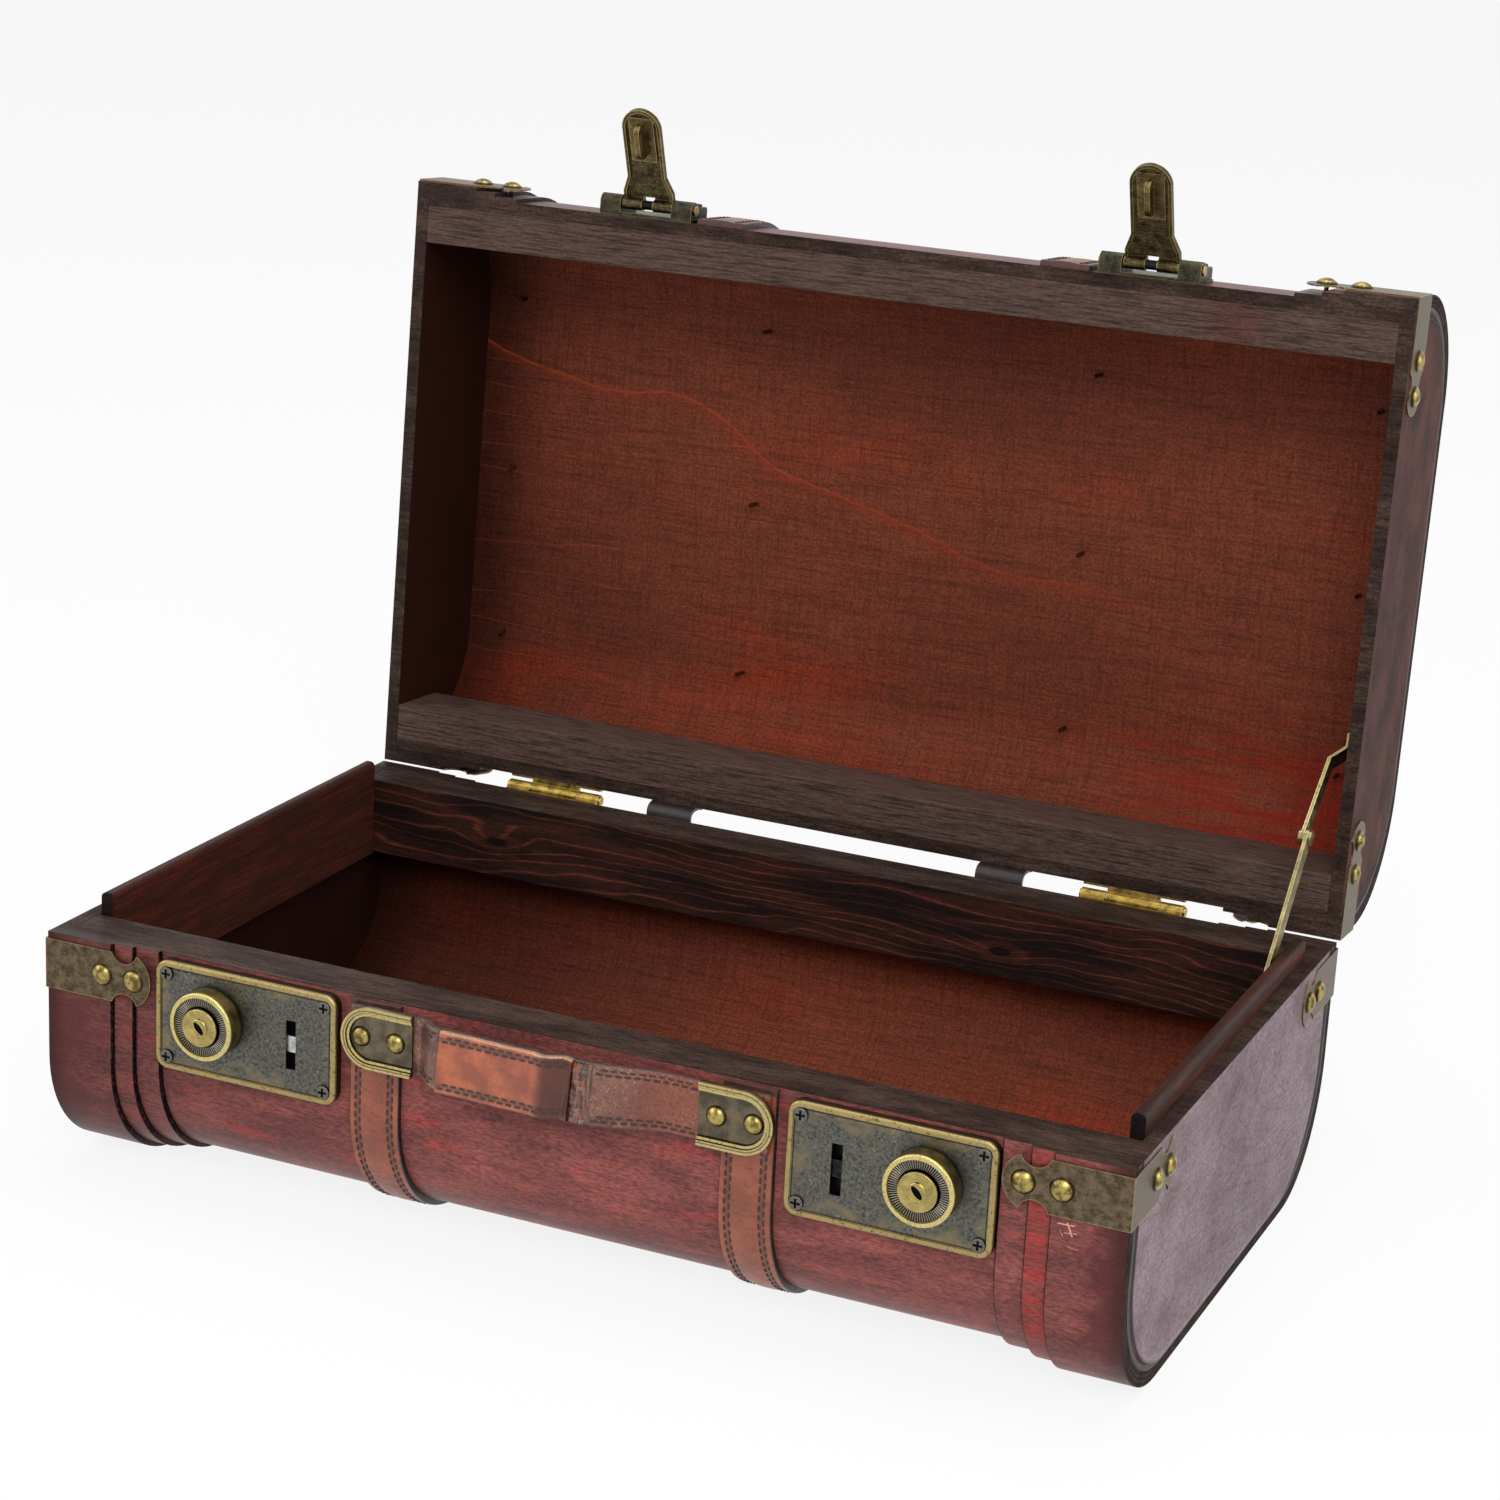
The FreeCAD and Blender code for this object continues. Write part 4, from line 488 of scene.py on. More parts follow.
def lid_inside(finish):
    """Inside of the lid: a long growth line, and a vivid red patch at its lower right."""
    inside, fibres = inside_stain(finish, 0.65)
    glow, faint = growth_wave(finish)
    patch = finish.x.fade(60, 130) * finish.y.fade(30, 84)
    patch = patch * finish.noise((40, 6, 6), detail=5, shift=6.6).fade(0.36, 0.66)
    line = glow.fade(0.86, 1.0) * finish.x.fade(-120, 60, 0.5, 0.22)
    inside = finish.layers(
        inside,
        (patch * 0.7, finish.grained(inside_vivid, 0.3)),
        (glow * 0.3, inside_red),
        (line + faint * 0.3, inside_line))
    return inside, fibres


def base_inside(finish):
    """Inside of the base: faint growth lines, and painted shade towards the left and the front."""
    inside, fibres = inside_stain(finish, 0.35)
    lines = (finish.y + finish.noise((160, 50, 50), detail=2, shift=2.2) * 18).rings(0.09, 0.05)
    lines = lines * finish.noise((50, 20, 20), detail=2).fade(0.45, 0.6)
    inside = finish.mix(lines * 0.22, inside, inside_line)
    # Painted shade: darker towards the left and towards the front wall.
    shade = finish.x.fade(-160, 10, 0.4, 1.0) * finish.y.fade(-105, -30, 0.76, 1.0)
    return finish.shaded(inside, shade), fibres


def lid_front_shade(finish):
    """Share of colour left on the lid's outside by a painted shade, deepest at its front rim."""
    upwards = finish.z.fade(lid_rim, lid_rim + 40, 0.35, 0.9)
    return finish.maths("MAXIMUM", upwards, finish.y.fade(-80, 0))


def shell_finish(name, on_lid):
    finish = Finish(name, on_lid)
    depth = from_bends(finish, on_lid, skin_face, bands_depth, bend_radius)
    is_inside = depth.fade(bend_radius - 1.2, bend_radius - 2.4)
    outside, streaks = stain(finish)
    if on_lid:
        outside = finish.shaded(outside, lid_front_shade(finish))
        inside, fibres = lid_inside(finish)
        shade_behind_lock = 0.0
    else:
        inside, fibres = base_inside(finish)
        # Painted shade: the wall is black behind the lock plates, where it shows through their slots.
        shade_behind_lock = (abs(finish.x).between(*lock_patch_sides, 0.3) * finish.y.fade(0, -10)
                       * finish.z.between(*lock_patch_levels, 0.3))
    cut, cut_fibres = rim_stain(finish)
    rim = at_rim(finish, on_lid)
    colour = finish.layers(
        outside,
        (band_shadow(finish, inner_band_edge), seam_and_shade_black),
        (shade_behind_lock, seam_and_shade_black),
        (is_inside, inside),
        (rim, cut),
        (at_ends(finish), end_stain(finish, on_lid)))
    relief = streaks * -0.06 + fibres * is_inside * -0.08 + cut_fibres * rim * -0.14
    varnish = (1 - is_inside) * (1 - rim) * 0.08
    return finish.finished(colour, is_inside * 0.2 + 0.4, relief, specular_ior_level=wood_shine,
                           coat_weight=varnish, coat_roughness=varnish_roughness)


dress(shell_finish("base_plywood", False), "base_skin")
dress(shell_finish("lid_plywood", True), "lid_skin")


# Veneer bands
# Three layers of 1.3 mm veneer go round both ends of the base and the lid, each narrower than the one
# below. They are stained like the shells, the middle one redder, and their cut edges are black.
band_edges = {"inner": (inner_band_edge, 157.6), "middle": (157.6, 165.3), "outer": (165.3,)}
band_red = {"inner": 0.3, "middle": 0.7, "outer": 0.2}
bright_red = paint(172, 50, 46)
pale_scuff = paint(222, 160, 140)
mottle_dark = paint(86, 44, 44)
scuff_strokes = [
    ((167.6, 63.2), (173.4, 63.4), 0.35), ((169.6, 60.6), (174.2, 61.0), 0.3),
    ((170.6, 64.2), (172.6, 59.6), 0.4), ((168.4, 61.4), (169.9, 58.9), 0.25),
    ((171.0, 56.4), (174.8, 55.9), 0.25), ((170.4, 54.6), (173.2, 54.2), 0.2),
]


def scuffs(finish):
    """Pale scratches on the front, each a stroke from one (x, z) to another with half its width."""
    ragged = finish.noise(0.9, detail=3)
    scuff = 0.0
    for first, last, half in scuff_strokes:
        length = math.dist(first, last)
        along_x, along_z = ((end - start) / length for start, end in zip(first, last))
        from_x = finish.x - (first[0] + last[0]) / 2
        from_z = finish.z - (first[1] + last[1]) / 2
        run = abs(from_x * along_x + from_z * along_z) + ragged * 0.5
        aside = abs(from_z * along_x - from_x * along_z) + ragged * 0.45
        stroke = run.fade(length * 0.55, length * 0.45) * aside.fade(half * 1.4, half * 0.9)
        scuff = finish.maths("MAXIMUM", scuff, stroke)
    return scuff * finish.y.fade(0, -100)


def band_finish(name, layer, on_lid):
    finish = Finish(name, on_lid)
    side = abs(finish.x)
    edges = band_edges[layer]
    colour, streaks = stain(finish, band_red[layer])
    if on_lid:
        colour = finish.shaded(colour, lid_front_shade(finish))
    if layer == "middle":
        bars = finish.noise((70, 0.9, 0.9), detail=4, roughness=0.7)
        vivid = finish.mix(bars.fade(0.4, 0.62), bright_red, mahogany_dark)
        colour = finish.mix(finish.x.fade(0, 10) * 0.6, colour, finish.grained(vivid, 0.25))
    if layer == "outer":
        clouds = finish.noise((22, 16, 16), detail=5, roughness=0.65, shift=7.9)
        mottled = (clouds + side.fade(172, 190, 0.0, 0.22)).fade(0.42, 0.68)
        colour = finish.mix(mottled * 0.8, colour, mottle_dark)
        # Painted shade towards each end of the outer band, deepest over its last 8 mm.
        colour = finish.shaded(colour, side.fade(182, 190, 0.92, 0.5))
    if layer == "outer" and not on_lid:
        colour = finish.mix(scuffs(finish), colour, pale_scuff)
    bark = finish.noise((0.8, 1.3, 1.3), detail=3, roughness=0.7).fade(0.45, 0.7)
    step = side.fade(edges[0] + 0.3, edges[0] + 0.12)
    colour = finish.mix(step, colour, finish.mix(bark, seam_and_shade_black, mahogany_grey))
    if len(edges) > 1:
        colour = finish.mix(band_shadow(finish, edges[1]), colour, seam_and_shade_black)
    cut, _ = rim_stain(finish)
    colour = finish.layers(
        colour, (at_rim(finish, on_lid, 0.2), cut), (at_ends(finish), ply_edges(finish, on_lid)))
    end = (half_length - 0.5, half_length - 0.1)
    return finish.finished(colour, side.fade(*end, 0.4, 0.8), streaks * -0.06, specular_ior_level=wood_shine,
                           coat_weight=side.fade(*end, 0.1, 0.0), coat_roughness=varnish_roughness)


for layer in band_edges:
    for shell, on_lid in (("base", False), ("lid", True)):
        piece = "%s_band_%s" % (shell, layer)
        dress(band_finish(piece, layer, on_lid), piece)


# End panels
# Flat boards of 5 mm close both ends of the base and the lid. They carry a thin worn stain with a fine
# bumpy texture outside, mauve grey or on the lid dark. Inside they are painted nearly black brown as
# shade, darker on the base than on the lid.
base_panel_shade = paint(26, 13, 9)
lid_panel_shade = paint(40, 21, 15)


def panel_finish(name, on_lid):
    finish = Finish(name, on_lid)
    inside, fibres = inside_stain(finish, 0.1)
    pimples = finish.noise((1.6, 1.6, 1.0), detail=4, roughness=0.6)
    outer = abs(finish.x).fade(187, 188.5)
    cut, _ = rim_stain(finish)
    colour = finish.layers(
        inside,
        # Painted shade: the inside faces are nearly black brown, darker on the base than on the lid.
        (0.8, lid_panel_shade if on_lid else base_panel_shade),
        (outer, end_stain(finish, on_lid)),
        (at_rim(finish, on_lid), cut))
    return finish.finished(colour, 0.6, pimples * 0.4 * outer - fibres * 0.06, specular_ior_level=wood_shine)


for side in ("left", "right"):
    dress(panel_finish("base_end_panel_" + side, False), "base_end_" + side)
    dress(panel_finish("lid_end_panel_" + side, True), "lid_end_" + side)


# Rails and liners
# Softwood rails stiffen the walls behind the rims. The one at the base's back shows wavy growth lines and
# knots through a black brown stain. The liners inside the ends stand above the rim and have rubbed red.
rail_face = half_depth - 22.5
rail_rounding = 0.4
rail_black = paint(27, 20, 18)
rail_brown = paint(50, 33, 28)
rail_red = paint(96, 46, 36)
rail_line = paint(120, 60, 48)
rail_grey = paint(108, 86, 78)
rail_patch = paint(104, 42, 36)
knots = [(74.9, 66.0), (-128.0, 70.0)]
rails = [("base_back_rail", 0.0, 0.8, None), ("base_front_rail", 0.0, 0.3, None),
         ("lid_back_rail", 0.8, 0.1, None), ("lid_front_rail", 0.75, 0.1, 136)]
liner_top = base_rim + 7.0
liner_front = -86.6
liner_inner_face = 180.4
liner_red = paint(96, 44, 34)
liner_shine = 0.12


def rail_finish(name, on_lid, grey, red_lines, patch_at):
    """Black brown to grey stain with wavy lines, and one patch that is worn red where a place is given."""
    finish = Finish(name, on_lid)
    bulge = heart = halo = 0.0
    for along, level in knots:
        away = finish.hypot((finish.x - along) * 0.35, (finish.y - rail_face) * 0.3, finish.z - level)
        bulge = bulge + away.fade(0, 9, 5.0, 0.0)
        heart = finish.maths("MAXIMUM", heart, away.fade(1.8, 1.2))
        halo = finish.maths("MAXIMUM", halo, away.near(3.0, 1.6))
    waves = finish.noise((95, 30, 34), detail=2, roughness=0.45, shift=6.3) * 30
    waves = waves + finish.noise((34, 14, 10), detail=3, shift=3.3) * 3
    fibres = finish.noise((16 if on_lid else 50, 0.9, 0.9), detail=4, roughness=0.7)
    clouds = finish.noise((60, 8, 8), detail=3)
    gaps = finish.noise((60, 3, 3), detail=3, roughness=0.6, shift=5.9)
    lines = (finish.z + waves + bulge).rings(0.27, 0.15)
    lines = lines * clouds.fade(0.32, 0.6, 0.35, 1.0) * gaps.fade(0.3, 0.48)
    patch = (finish.x + fibres * 16).near(patch_at, 17) * 0.4 if patch_at else 0.0
    tone = finish.layers(
        rail_black,
        (clouds.fade(0.35, 0.65), rail_brown),
        (grey, rail_grey),
        ((clouds + gaps * 0.4).fade(0.56, 0.84) * red_lines * 0.25, rail_red),
        (lines * red_lines, rail_line),
        (halo * red_lines * 0.4, rail_red),
        (patch, rail_patch),
        (fibres.fade(0.42, 0.64) * (0.75 if on_lid else 0.5), rail_black),
        (heart * 0.9, seam_and_shade_black))
    cut, _ = rim_stain(finish)
    colour = finish.mix(at_rim(finish, on_lid) * (1 - grey), finish.grained(tone, 0.25), cut)
    return finish.finished(colour, 0.55, fibres * -0.14 + lines * 0.08, specular_ior_level=wood_shine)


def liner_finish():
    """Rubbed red over black brown, with black front ends, and painted shade on the inner face on the left."""
    finish = Finish("liner_stain")
    fibres = finish.noise((1, 24, 0.7), detail=5, roughness=0.65)
    wear = finish.noise((8, 34, 4), detail=3)
    # Painted shade on the inner face of the left liner.
    inner = abs(finish.x).fade(liner_inner_face + 0.5, liner_inner_face) * finish.x.fade(0, -100)
    tone = finish.layers(
        rail_brown,
        (wear.fade(0.38, 0.66), liner_red),
        (fibres.fade(0.42, 0.62) * 0.8, rail_black),
        (finish.z.fade(liner_top - 1, liner_top) * 0.6, rim_brown),
        (finish.y.fade(liner_front, liner_front - 0.6) * 0.85, seam_and_shade_black),
        (inner * 0.45, inside_dark))
    return finish.finished(finish.grained(tone, 0.25), 0.5, fibres * -0.14, specular_ior_level=liner_shine)


dress(liner_finish(), "base_liner_left", "base_liner_right")
for piece, grey, red_lines, patch_at in rails:
    dress(rail_finish(piece + "_stain", piece.startswith("lid"), grey, red_lines, patch_at), piece)
    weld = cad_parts[piece].modifiers.new("weld", "WELD")
    weld.merge_threshold = 0.002 * MM
    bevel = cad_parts[piece].modifiers.new("rounding", "BEVEL")
    bevel.width = rail_rounding * MM
    bevel.segments = 2
    bevel.limit_method = "ANGLE"
    bevel.angle_limit = math.radians(50)
    bevel.harden_normals = True


# Brackets
# Thin bronze plated sheet is folded round the eight corners and nailed on. The plating is a dull olive
# that has rubbed bright along the cut edges and the fold.
bronze_dark = paint(66, 56, 44)
bronze = paint(112, 98, 78)
bronze_bright = paint(188, 158, 104)


def plated(name, dark, middle, bright, edge=0.7, wear=0.25, rough=0.4, on_lid=False):
    """Plated metal: dull clouds, a fine speckle, scratches, and bright edges."""
    finish = Finish(name, on_lid)
    clouds = finish.noise(3.6, detail=5, roughness=0.75)
    speckle = finish.noise(1.1, detail=3, roughness=0.7)
    scratches = finish.noise((14, 5, 0.35), detail=2, warp=1.2).near(0.5, 0.02)
    edges = finish.worn_edges(edge)
    colour = finish.layers(
        dark,
        (clouds.fade(0.35, 0.65), middle),
        (speckle.fade(0.6, 0.75) * wear, bright),
        (scratches * wear, bright),
        (edges * speckle.fade(0.25, 0.5, 0.4, 1.0), bright))
    roughness = (clouds + edges * -0.3).fade(0.2, 0.8, rough - 0.1, rough + 0.14)
    return finish.finished(colour, roughness, speckle * 0.04 + clouds * 0.1, metallic=1.0)


bracket_bronze = plated("bracket_bronze", bronze_dark, bronze, bronze_bright)
dress(bracket_bronze, "base_corner_brackets", "lid_corner_brackets")


# Nails and rivets
# Domed upholstery nails and the handle's rivets, of yellow brass with brown in the hollows. Each dome has
# a small dimple where the die held it. The nails through the lid's top are a duller brass.
nail_gold = paint(176, 158, 92)
nail_brown = paint(100, 84, 50)
dimple_brown = paint(96, 64, 40)
point_tones = paint(70, 58, 36), paint(128, 108, 66), paint(190, 166, 110)
nail_edge = 4.5
rivet_edge = 4.0
nail_drop = 10.95
nail_places_round_corner = [(168.4, 114.2), (156.2, 114.2), (192.7, 89.9), (192.7, 77.7)]
rivet_places = (56.4, 69.0)
rivet_front = 115.0
handle_level = base_rim - 11.7


def domed(name, tops, edge, on_lid=False):
    """Worn brass domes, given by their tops and the distance from there to the edge, with a dark ring round
    it.
    """
    finish = Finish(name, on_lid)
    clouds = finish.noise(2.4, detail=4)
    speckle = finish.noise(0.5, detail=3)
    away = finish.distance_to(tops[0])
    for top in tops[1:]:
        away = finish.maths("MINIMUM", away, finish.distance_to(top))
    hollow = away.fade(0.8, 0.2)
    colour = finish.layers(
        nail_brown,
        (clouds.fade(0.35, 0.62), nail_gold),
        (hollow * 0.45, dimple_brown),
        (away.fade(edge - 1.3, edge - 0.5) * 0.9, seam_and_shade_black))
    roughness = speckle.fade(0.3, 0.7, 0.26, 0.42)
    return finish.finished(colour, roughness, speckle * 0.03 - hollow * 0.1, metallic=1.0)


base_nails = [(x, y, base_rim - nail_drop) for x, y in nail_places_round_corner]
lid_nails = [(x, y, lid_rim + nail_drop) for x, y in nail_places_round_corner]
rivets = [(x, rivet_front, handle_level) for x in rivet_places]
dress(domed("base_nail_brass", base_nails, nail_edge), "base_bracket_nails")
dress(domed("lid_nail_brass", lid_nails, nail_edge, True), "lid_bracket_nails")
dress(domed("rivet_brass", rivets, rivet_edge), "handle_rivets")
dress(plated("nail_point_brass", *point_tones, on_lid=True), "lid_top_nails")


# Lock plates
# Dished steel plates with a raised border, plated brass and blackened. The flat has worn slate grey with
# brass clouds and scratches, and the border is rubbed to bright brass with a dark line inside it.
lock_place = 113.6
lock_level = base_rim - 20.4
lock_half_width = 34.25
lock_half_height = 19.0
lock_corner = 4.5
border_width = 1.9
plate_sides = (-110.7, -110.0)
slate = paint(102, 101, 94)
slate_dark = paint(60, 60, 56)
slate_rubbed = paint(168, 164, 150)
brass_cloud = paint(138, 122, 86)
border_brass = paint(168, 148, 98)
border_dark = paint(88, 76, 50)


def lock_plate_finish():
    finish = Finish("lock_plate_metal")
    beside = abs(abs(finish.x) - lock_place) - (lock_half_width - lock_corner)
    above = abs(finish.z - lock_level) - (lock_half_height - lock_corner)
    outside = finish.hypot(*(finish.maths("MAXIMUM", length, 0.0) for length in (beside, above)))
    inside = finish.maths("MINIMUM", finish.maths("MAXIMUM", beside, above), 0.0)
    from_edge = lock_corner - outside - inside
    clouds = finish.noise((13, 13, 9), detail=4, roughness=0.6)
    specks = finish.noise(1.1, detail=4, roughness=0.75)
    rubs = finish.noise((4, 9, 4), detail=3, warp=1.2).near(0.5, 0.008)
    wear = finish.noise((1.2, 9, 1.2), detail=4, roughness=0.75, shift=3.1)
    clouding = (clouds + from_edge.fade(3.0, 7.5, 0.14, 0.0)).fade(0.58, 0.76)
    colour = finish.layers(
        slate,
        (specks.fade(0.4, 0.66), slate_dark),
        (clouding * specks.fade(0.4, 0.6, 0.2, 0.85), brass_cloud),
        (wear.fade(0.6, 0.72) * 0.5, brass_cloud),
        (rubs * 0.55, slate_rubbed),
        (from_edge.fade(border_width + 0.3, border_width),
         finish.mix(specks.fade(0.52, 0.68), border_brass, border_dark)),
        (from_edge.near(border_width + 0.45, 0.45) * 0.8, seam_and_shade_black),
        # Painted shade: the plate's sides next to the wall are nearly black.
        (finish.y.fade(*plate_sides) * 0.9, seam_and_shade_black))
    return finish.finished(colour, specks.fade(0.3, 0.7, 0.34, 0.52), specks * 0.04, metallic=0.9)


dress(lock_plate_finish(), "lock_plate_left", "lock_plate_right")


# Lock screws and bolts
# Worn grey pan head screws with cross slots hold the plates. The left bolt shows as bright steel in the
# hasp's slot, the right one has stayed black.
screw_face = -112.1
screw_dark = paint(70, 69, 66)
screw_light = paint(128, 124, 114)
black_tones = paint(26, 26, 28), paint(50, 50, 52), paint(120, 116, 108)
bright_tones = paint(150, 150, 148), paint(206, 206, 202), paint(235, 235, 230)


def screw_finish():
    finish = Finish("lock_screw_steel")
    specks = finish.noise(0.6, detail=3)
    # Painted shade: the cross slots are black below the head's face.
    slot_shade = finish.y.fade(screw_face + 0.1, screw_face + 0.35)
    tone = finish.layers(screw_dark, (specks, screw_light), (slot_shade, seam_and_shade_black))
    return finish.finished(tone, specks.fade(0.3, 0.7, 0.3, 0.5), metallic=0.8)


black_steel = plated("black_steel", *black_tones, edge=0.3, wear=0.15)
dress(black_steel, "lock_bolt_right", "hasp_screws", "base_hinge_screws", "lid_hinge_screws")
dress(plated("bright_steel", *bright_tones), "lock_bolt_left")
dress(screw_finish(), "lock_screws")


# Lock knobs and plugs
# A brass drum slides with the bolt. Its front is a bright ring, then a darker knurled ring, then a gap
# round the key plug that is painted black as shade. The plug turns in it and carries a small ring with an
# oval keyhole, which a black oval of painted shade fills.
knob_place = 125.8
knob_level = base_rim - 18.7
plug_front = -119.8
knurls = 72
knurl_middle = 8.5
knob_brass_dark = paint(88, 78, 46)
knob_brass = paint(146, 130, 78)
knob_brass_bright = paint(220, 202, 134)
knurl_light = paint(138, 132, 118)
knurl_dark = paint(44, 42, 40)
plug_gold = paint(186, 168, 104)
deep_keyhole_shade = paint(5, 5, 5)
soft_keyhole_shade = paint(14, 12, 10)
smooth_below = math.radians(40)
ring_radius = 3.2
ring_height = 0.45
ring_floor = ring_height * 0.4
keyhole_half_length = 2.5
keyhole_half_width = 1.15
keyhole_depth = 0.5
keyhole_tilt = math.radians(-42)
ring_steps = 40


def knob_finish():
    finish = Finish("knob_brass")
    beside = abs(finish.x) - knob_place
    above = finish.z - knob_level
    out = finish.hypot(beside, above)
    turns = finish.maths("SINE", finish.maths("ARCTAN2", above, beside) * knurls)
    ridges = turns * abs(out - knurl_middle).fade(1.6, 1.2)
    clouds = finish.noise(5, detail=4)
    specks = finish.noise(0.6, detail=3)
    bright_ring = out.fade(10.0, 10.2) * finish.y.fade(-117.7, -118.3)
    colour = finish.layers(
        knob_brass_dark,
        (clouds.fade(0.3, 0.65), knob_brass),
        (out.fade(6.7, 7.0) * out.fade(10.1, 9.9),
         finish.mix(ridges.fade(-0.5, 0.5), knurl_dark, knurl_light)),
        (bright_ring * specks.fade(0.3, 0.6, 0.5, 0.95), knob_brass_bright),
        # Painted shade: black in the gap round the plug, and dark on the drum's back where it goes into the
        # plate.
        (out.fade(7.15, 6.95), seam_and_shade_black),
        (finish.y.fade(-113.5, -112.0) * 0.8, seam_and_shade_black))
    relief = ridges * 0.12 + specks * 0.03
    return finish.finished(colour, specks.fade(0.3, 0.7, 0.28, 0.44), relief, metallic=1.0)


def placed(name, mesh, finish):
    """Puts a smooth mesh with its finish into the scene."""
    mesh.shade_smooth()
    mesh.materials.append(finish.material)
    thing = bpy.data.objects.new(name, mesh)
    bpy.context.scene.collection.objects.link(thing)
    return thing


def new_piece(name, points, faces, finish):
    """A mesh from points in millimetres, in the frame of the chest, with its sharp edges kept."""
    mesh = bpy.data.meshes.new(name)
    mesh.from_pydata([Vector(point) * MM for point in points], [], faces)
    mesh.validate()
    thing = placed(name, mesh, finish)
    mesh.set_sharp_from_angle(angle=smooth_below)
    return thing


def loop_faces(loops, width, first=0):
    """Faces between closed loops of points, this many in each, from a first point on."""
    faces = []
    for start in range(first, first + (loops - 1) * width, width):
        for step in range(width):
            after = (step + 1) % width
            faces.append((start + step, start + after, start + width + after, start + width + step))
    return faces


def oval(centre, length, width, tilt, level):
    """Points of an oval, or with equal sides of a circle, that stands this much in front of a centre."""
    points = []
    for step in range(ring_steps):
        angle = math.tau * step / ring_steps
        along, across = length * math.cos(angle), width * math.sin(angle)
        across_x = along * math.sin(tilt) + across * math.cos(tilt)
        up_z = along * math.cos(tilt) - across * math.sin(tilt)
        points.append(centre + Vector((across_x, -level, up_z)))
    return points


def keyhole_ring(side, hand):
    """A low ring on the plug's face, open in the middle for the key, and a black oval of painted shade in the
    hole.
    """
    centre = Vector((knob_place * side, plug_front, knob_level))
    hole = (keyhole_half_length, keyhole_half_width, keyhole_tilt)
    profile = ((0, 0.0), (0, ring_height * 0.6), (0.2, ring_height), (0.45, ring_height), (0.6, ring_floor))
    loops = [oval(centre, ring_radius - inward, ring_radius - inward, 0, level) for inward, level in profile]
    loops += [oval(centre, *hole, ring_floor), oval(centre, *hole, -keyhole_depth)]
    points = [point for loop in loops for point in loop]
    faces = loop_faces(len(loops), ring_steps)
    ring = new_piece("keyhole_ring_" + hand, points, faces, plug_brass)
    # Painted shade: a black oval just in front of the plug's face fills the keyhole.
    shade_oval = oval(centre, *hole, 0.02)
    black = new_piece("keyhole_" + hand, shade_oval, [tuple(range(ring_steps))], keyhole_shade_sheet)
    for thing in (ring, black):
        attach(thing, "plug_" + hand)


dress(knob_finish(), "lock_knob_left", "lock_knob_right")
plug_brass = plated("plug_brass", knob_brass, plug_gold, knob_brass_bright, edge=0.6, wear=0.4, rough=0.34)
# Painted shade: the plug's slot is black below its face.
plug_slot_shade = plug_brass.y.fade(plug_front + 0.7, plug_front + 0.9)
plug_face = Value(plug_brass, plug_brass.shader.inputs["Base Color"].links[0].from_socket)
plug_brass.fill(plug_brass.shader, {"Base Color": plug_brass.mix(plug_slot_shade, plug_face, seam_and_shade_black)})
dress(plug_brass, "lock_plug_left", "lock_plug_right")
# Finish of the painted shade in the keyhole.
keyhole_shade_sheet = Finish("keyhole_shade_sheet")
keyhole_shade_tone = keyhole_shade_sheet.mix(keyhole_shade_sheet.noise(0.5), deep_keyhole_shade, soft_keyhole_shade)
keyhole_shade_sheet.finished(keyhole_shade_tone, 0.9, specular_ior_level=0.05)
keyhole_ring(1, "right")
keyhole_ring(-1, "left")


# Lock springs
# A small coil of steel wire pushes each bolt inwards, behind the plate.
lock_spring_start = 132.0
lock_spring_end = 147.2
lock_spring_back = -109.6
lock_spring_radius = 0.75
lock_spring_wire = 0.3
lock_spring_turns = 13
coil_steps = 16


def coil(name, start, end, radius, wire, turns, finish):
    """A coil of round wire from one point to another, in millimetres."""
    curve = bpy.data.curves.new(name, "CURVE")
    curve.dimensions = "3D"
    curve.bevel_depth = wire / 2 * MM
    curve.bevel_resolution = 2
    start, end = Vector(start), Vector(end)
    axis = (end - start).normalized()
    across = axis.cross(Vector((0, 1, 0))).normalized()
    up = axis.cross(across)
    steps = turns * coil_steps
    line = curve.splines.new("POLY")
    line.points.add(steps)
    for step, knot in enumerate(line.points):
        angle = math.tau * step / coil_steps
        out = across * radius * math.cos(angle) + up * radius * math.sin(angle)
        knot.co = (*((start.lerp(end, step / steps) + out) * MM), 1)
    thing = bpy.data.objects.new(name, curve)
    bpy.context.scene.collection.objects.link(thing)
    mesh = bpy.data.meshes.new_from_object(thing)
    bpy.data.objects.remove(thing)
    mesh.name = name
    mesh.materials.clear()
    return placed(name, mesh, finish)


for side, hand in ((1, "right"), (-1, "left")):
    spring = coil("lock_spring_" + hand,
                  (lock_spring_start * side, lock_spring_back, knob_level),
                  (lock_spring_end * side, lock_spring_back, knob_level),
                  lock_spring_radius, lock_spring_wire, lock_spring_turns, black_steel)
    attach(spring, "base")
    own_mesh(spring)
    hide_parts("lock_springs")


# Leather straps
# Strips of 18 mm orange brown leather round the base and the lid, 65.8 mm each side of the middle. They
# are glued on, sewn along both sides with two rows of dark thread, and their thick cut edges are black.
strap_place = 65.8
strap_half = 9.0
strap_height = 2.4
strap_face_height = 2.1
lid_strap_end_shade = 26.0
wall_steps = 12
flat_steps = 16
bend_step = 1.4
stitch_rows = (-6.9, -5.2, 4.9, 6.6)
stitch_pitch = 3.1
stitch_length = 2.4
stitch_radius = 0.36
stitch_rings = ((-0.5, 0.25, -0.5), (-0.4, 0.8, 0.1), (0.0, 1.0, 0.35), (0.4, 0.8, 0.1), (0.5, 0.25, -0.5))
stitch_sides = 6
leather_orange = paint(160, 84, 56)
leather_brown = paint(124, 62, 44)
leather_dark = paint(44, 28, 24)
thread_dark = paint(40, 29, 24)
thread_light = paint(74, 56, 44)
leather_roughness = (0.36, 0.56)


def opened(point):
    """Where a point of the shut lid is while the lid stands open."""
    pivot = hinge_line / MM
    return Matrix.Rotation(-lid_open, 3, "X") @ (Vector(point) - pivot) + pivot


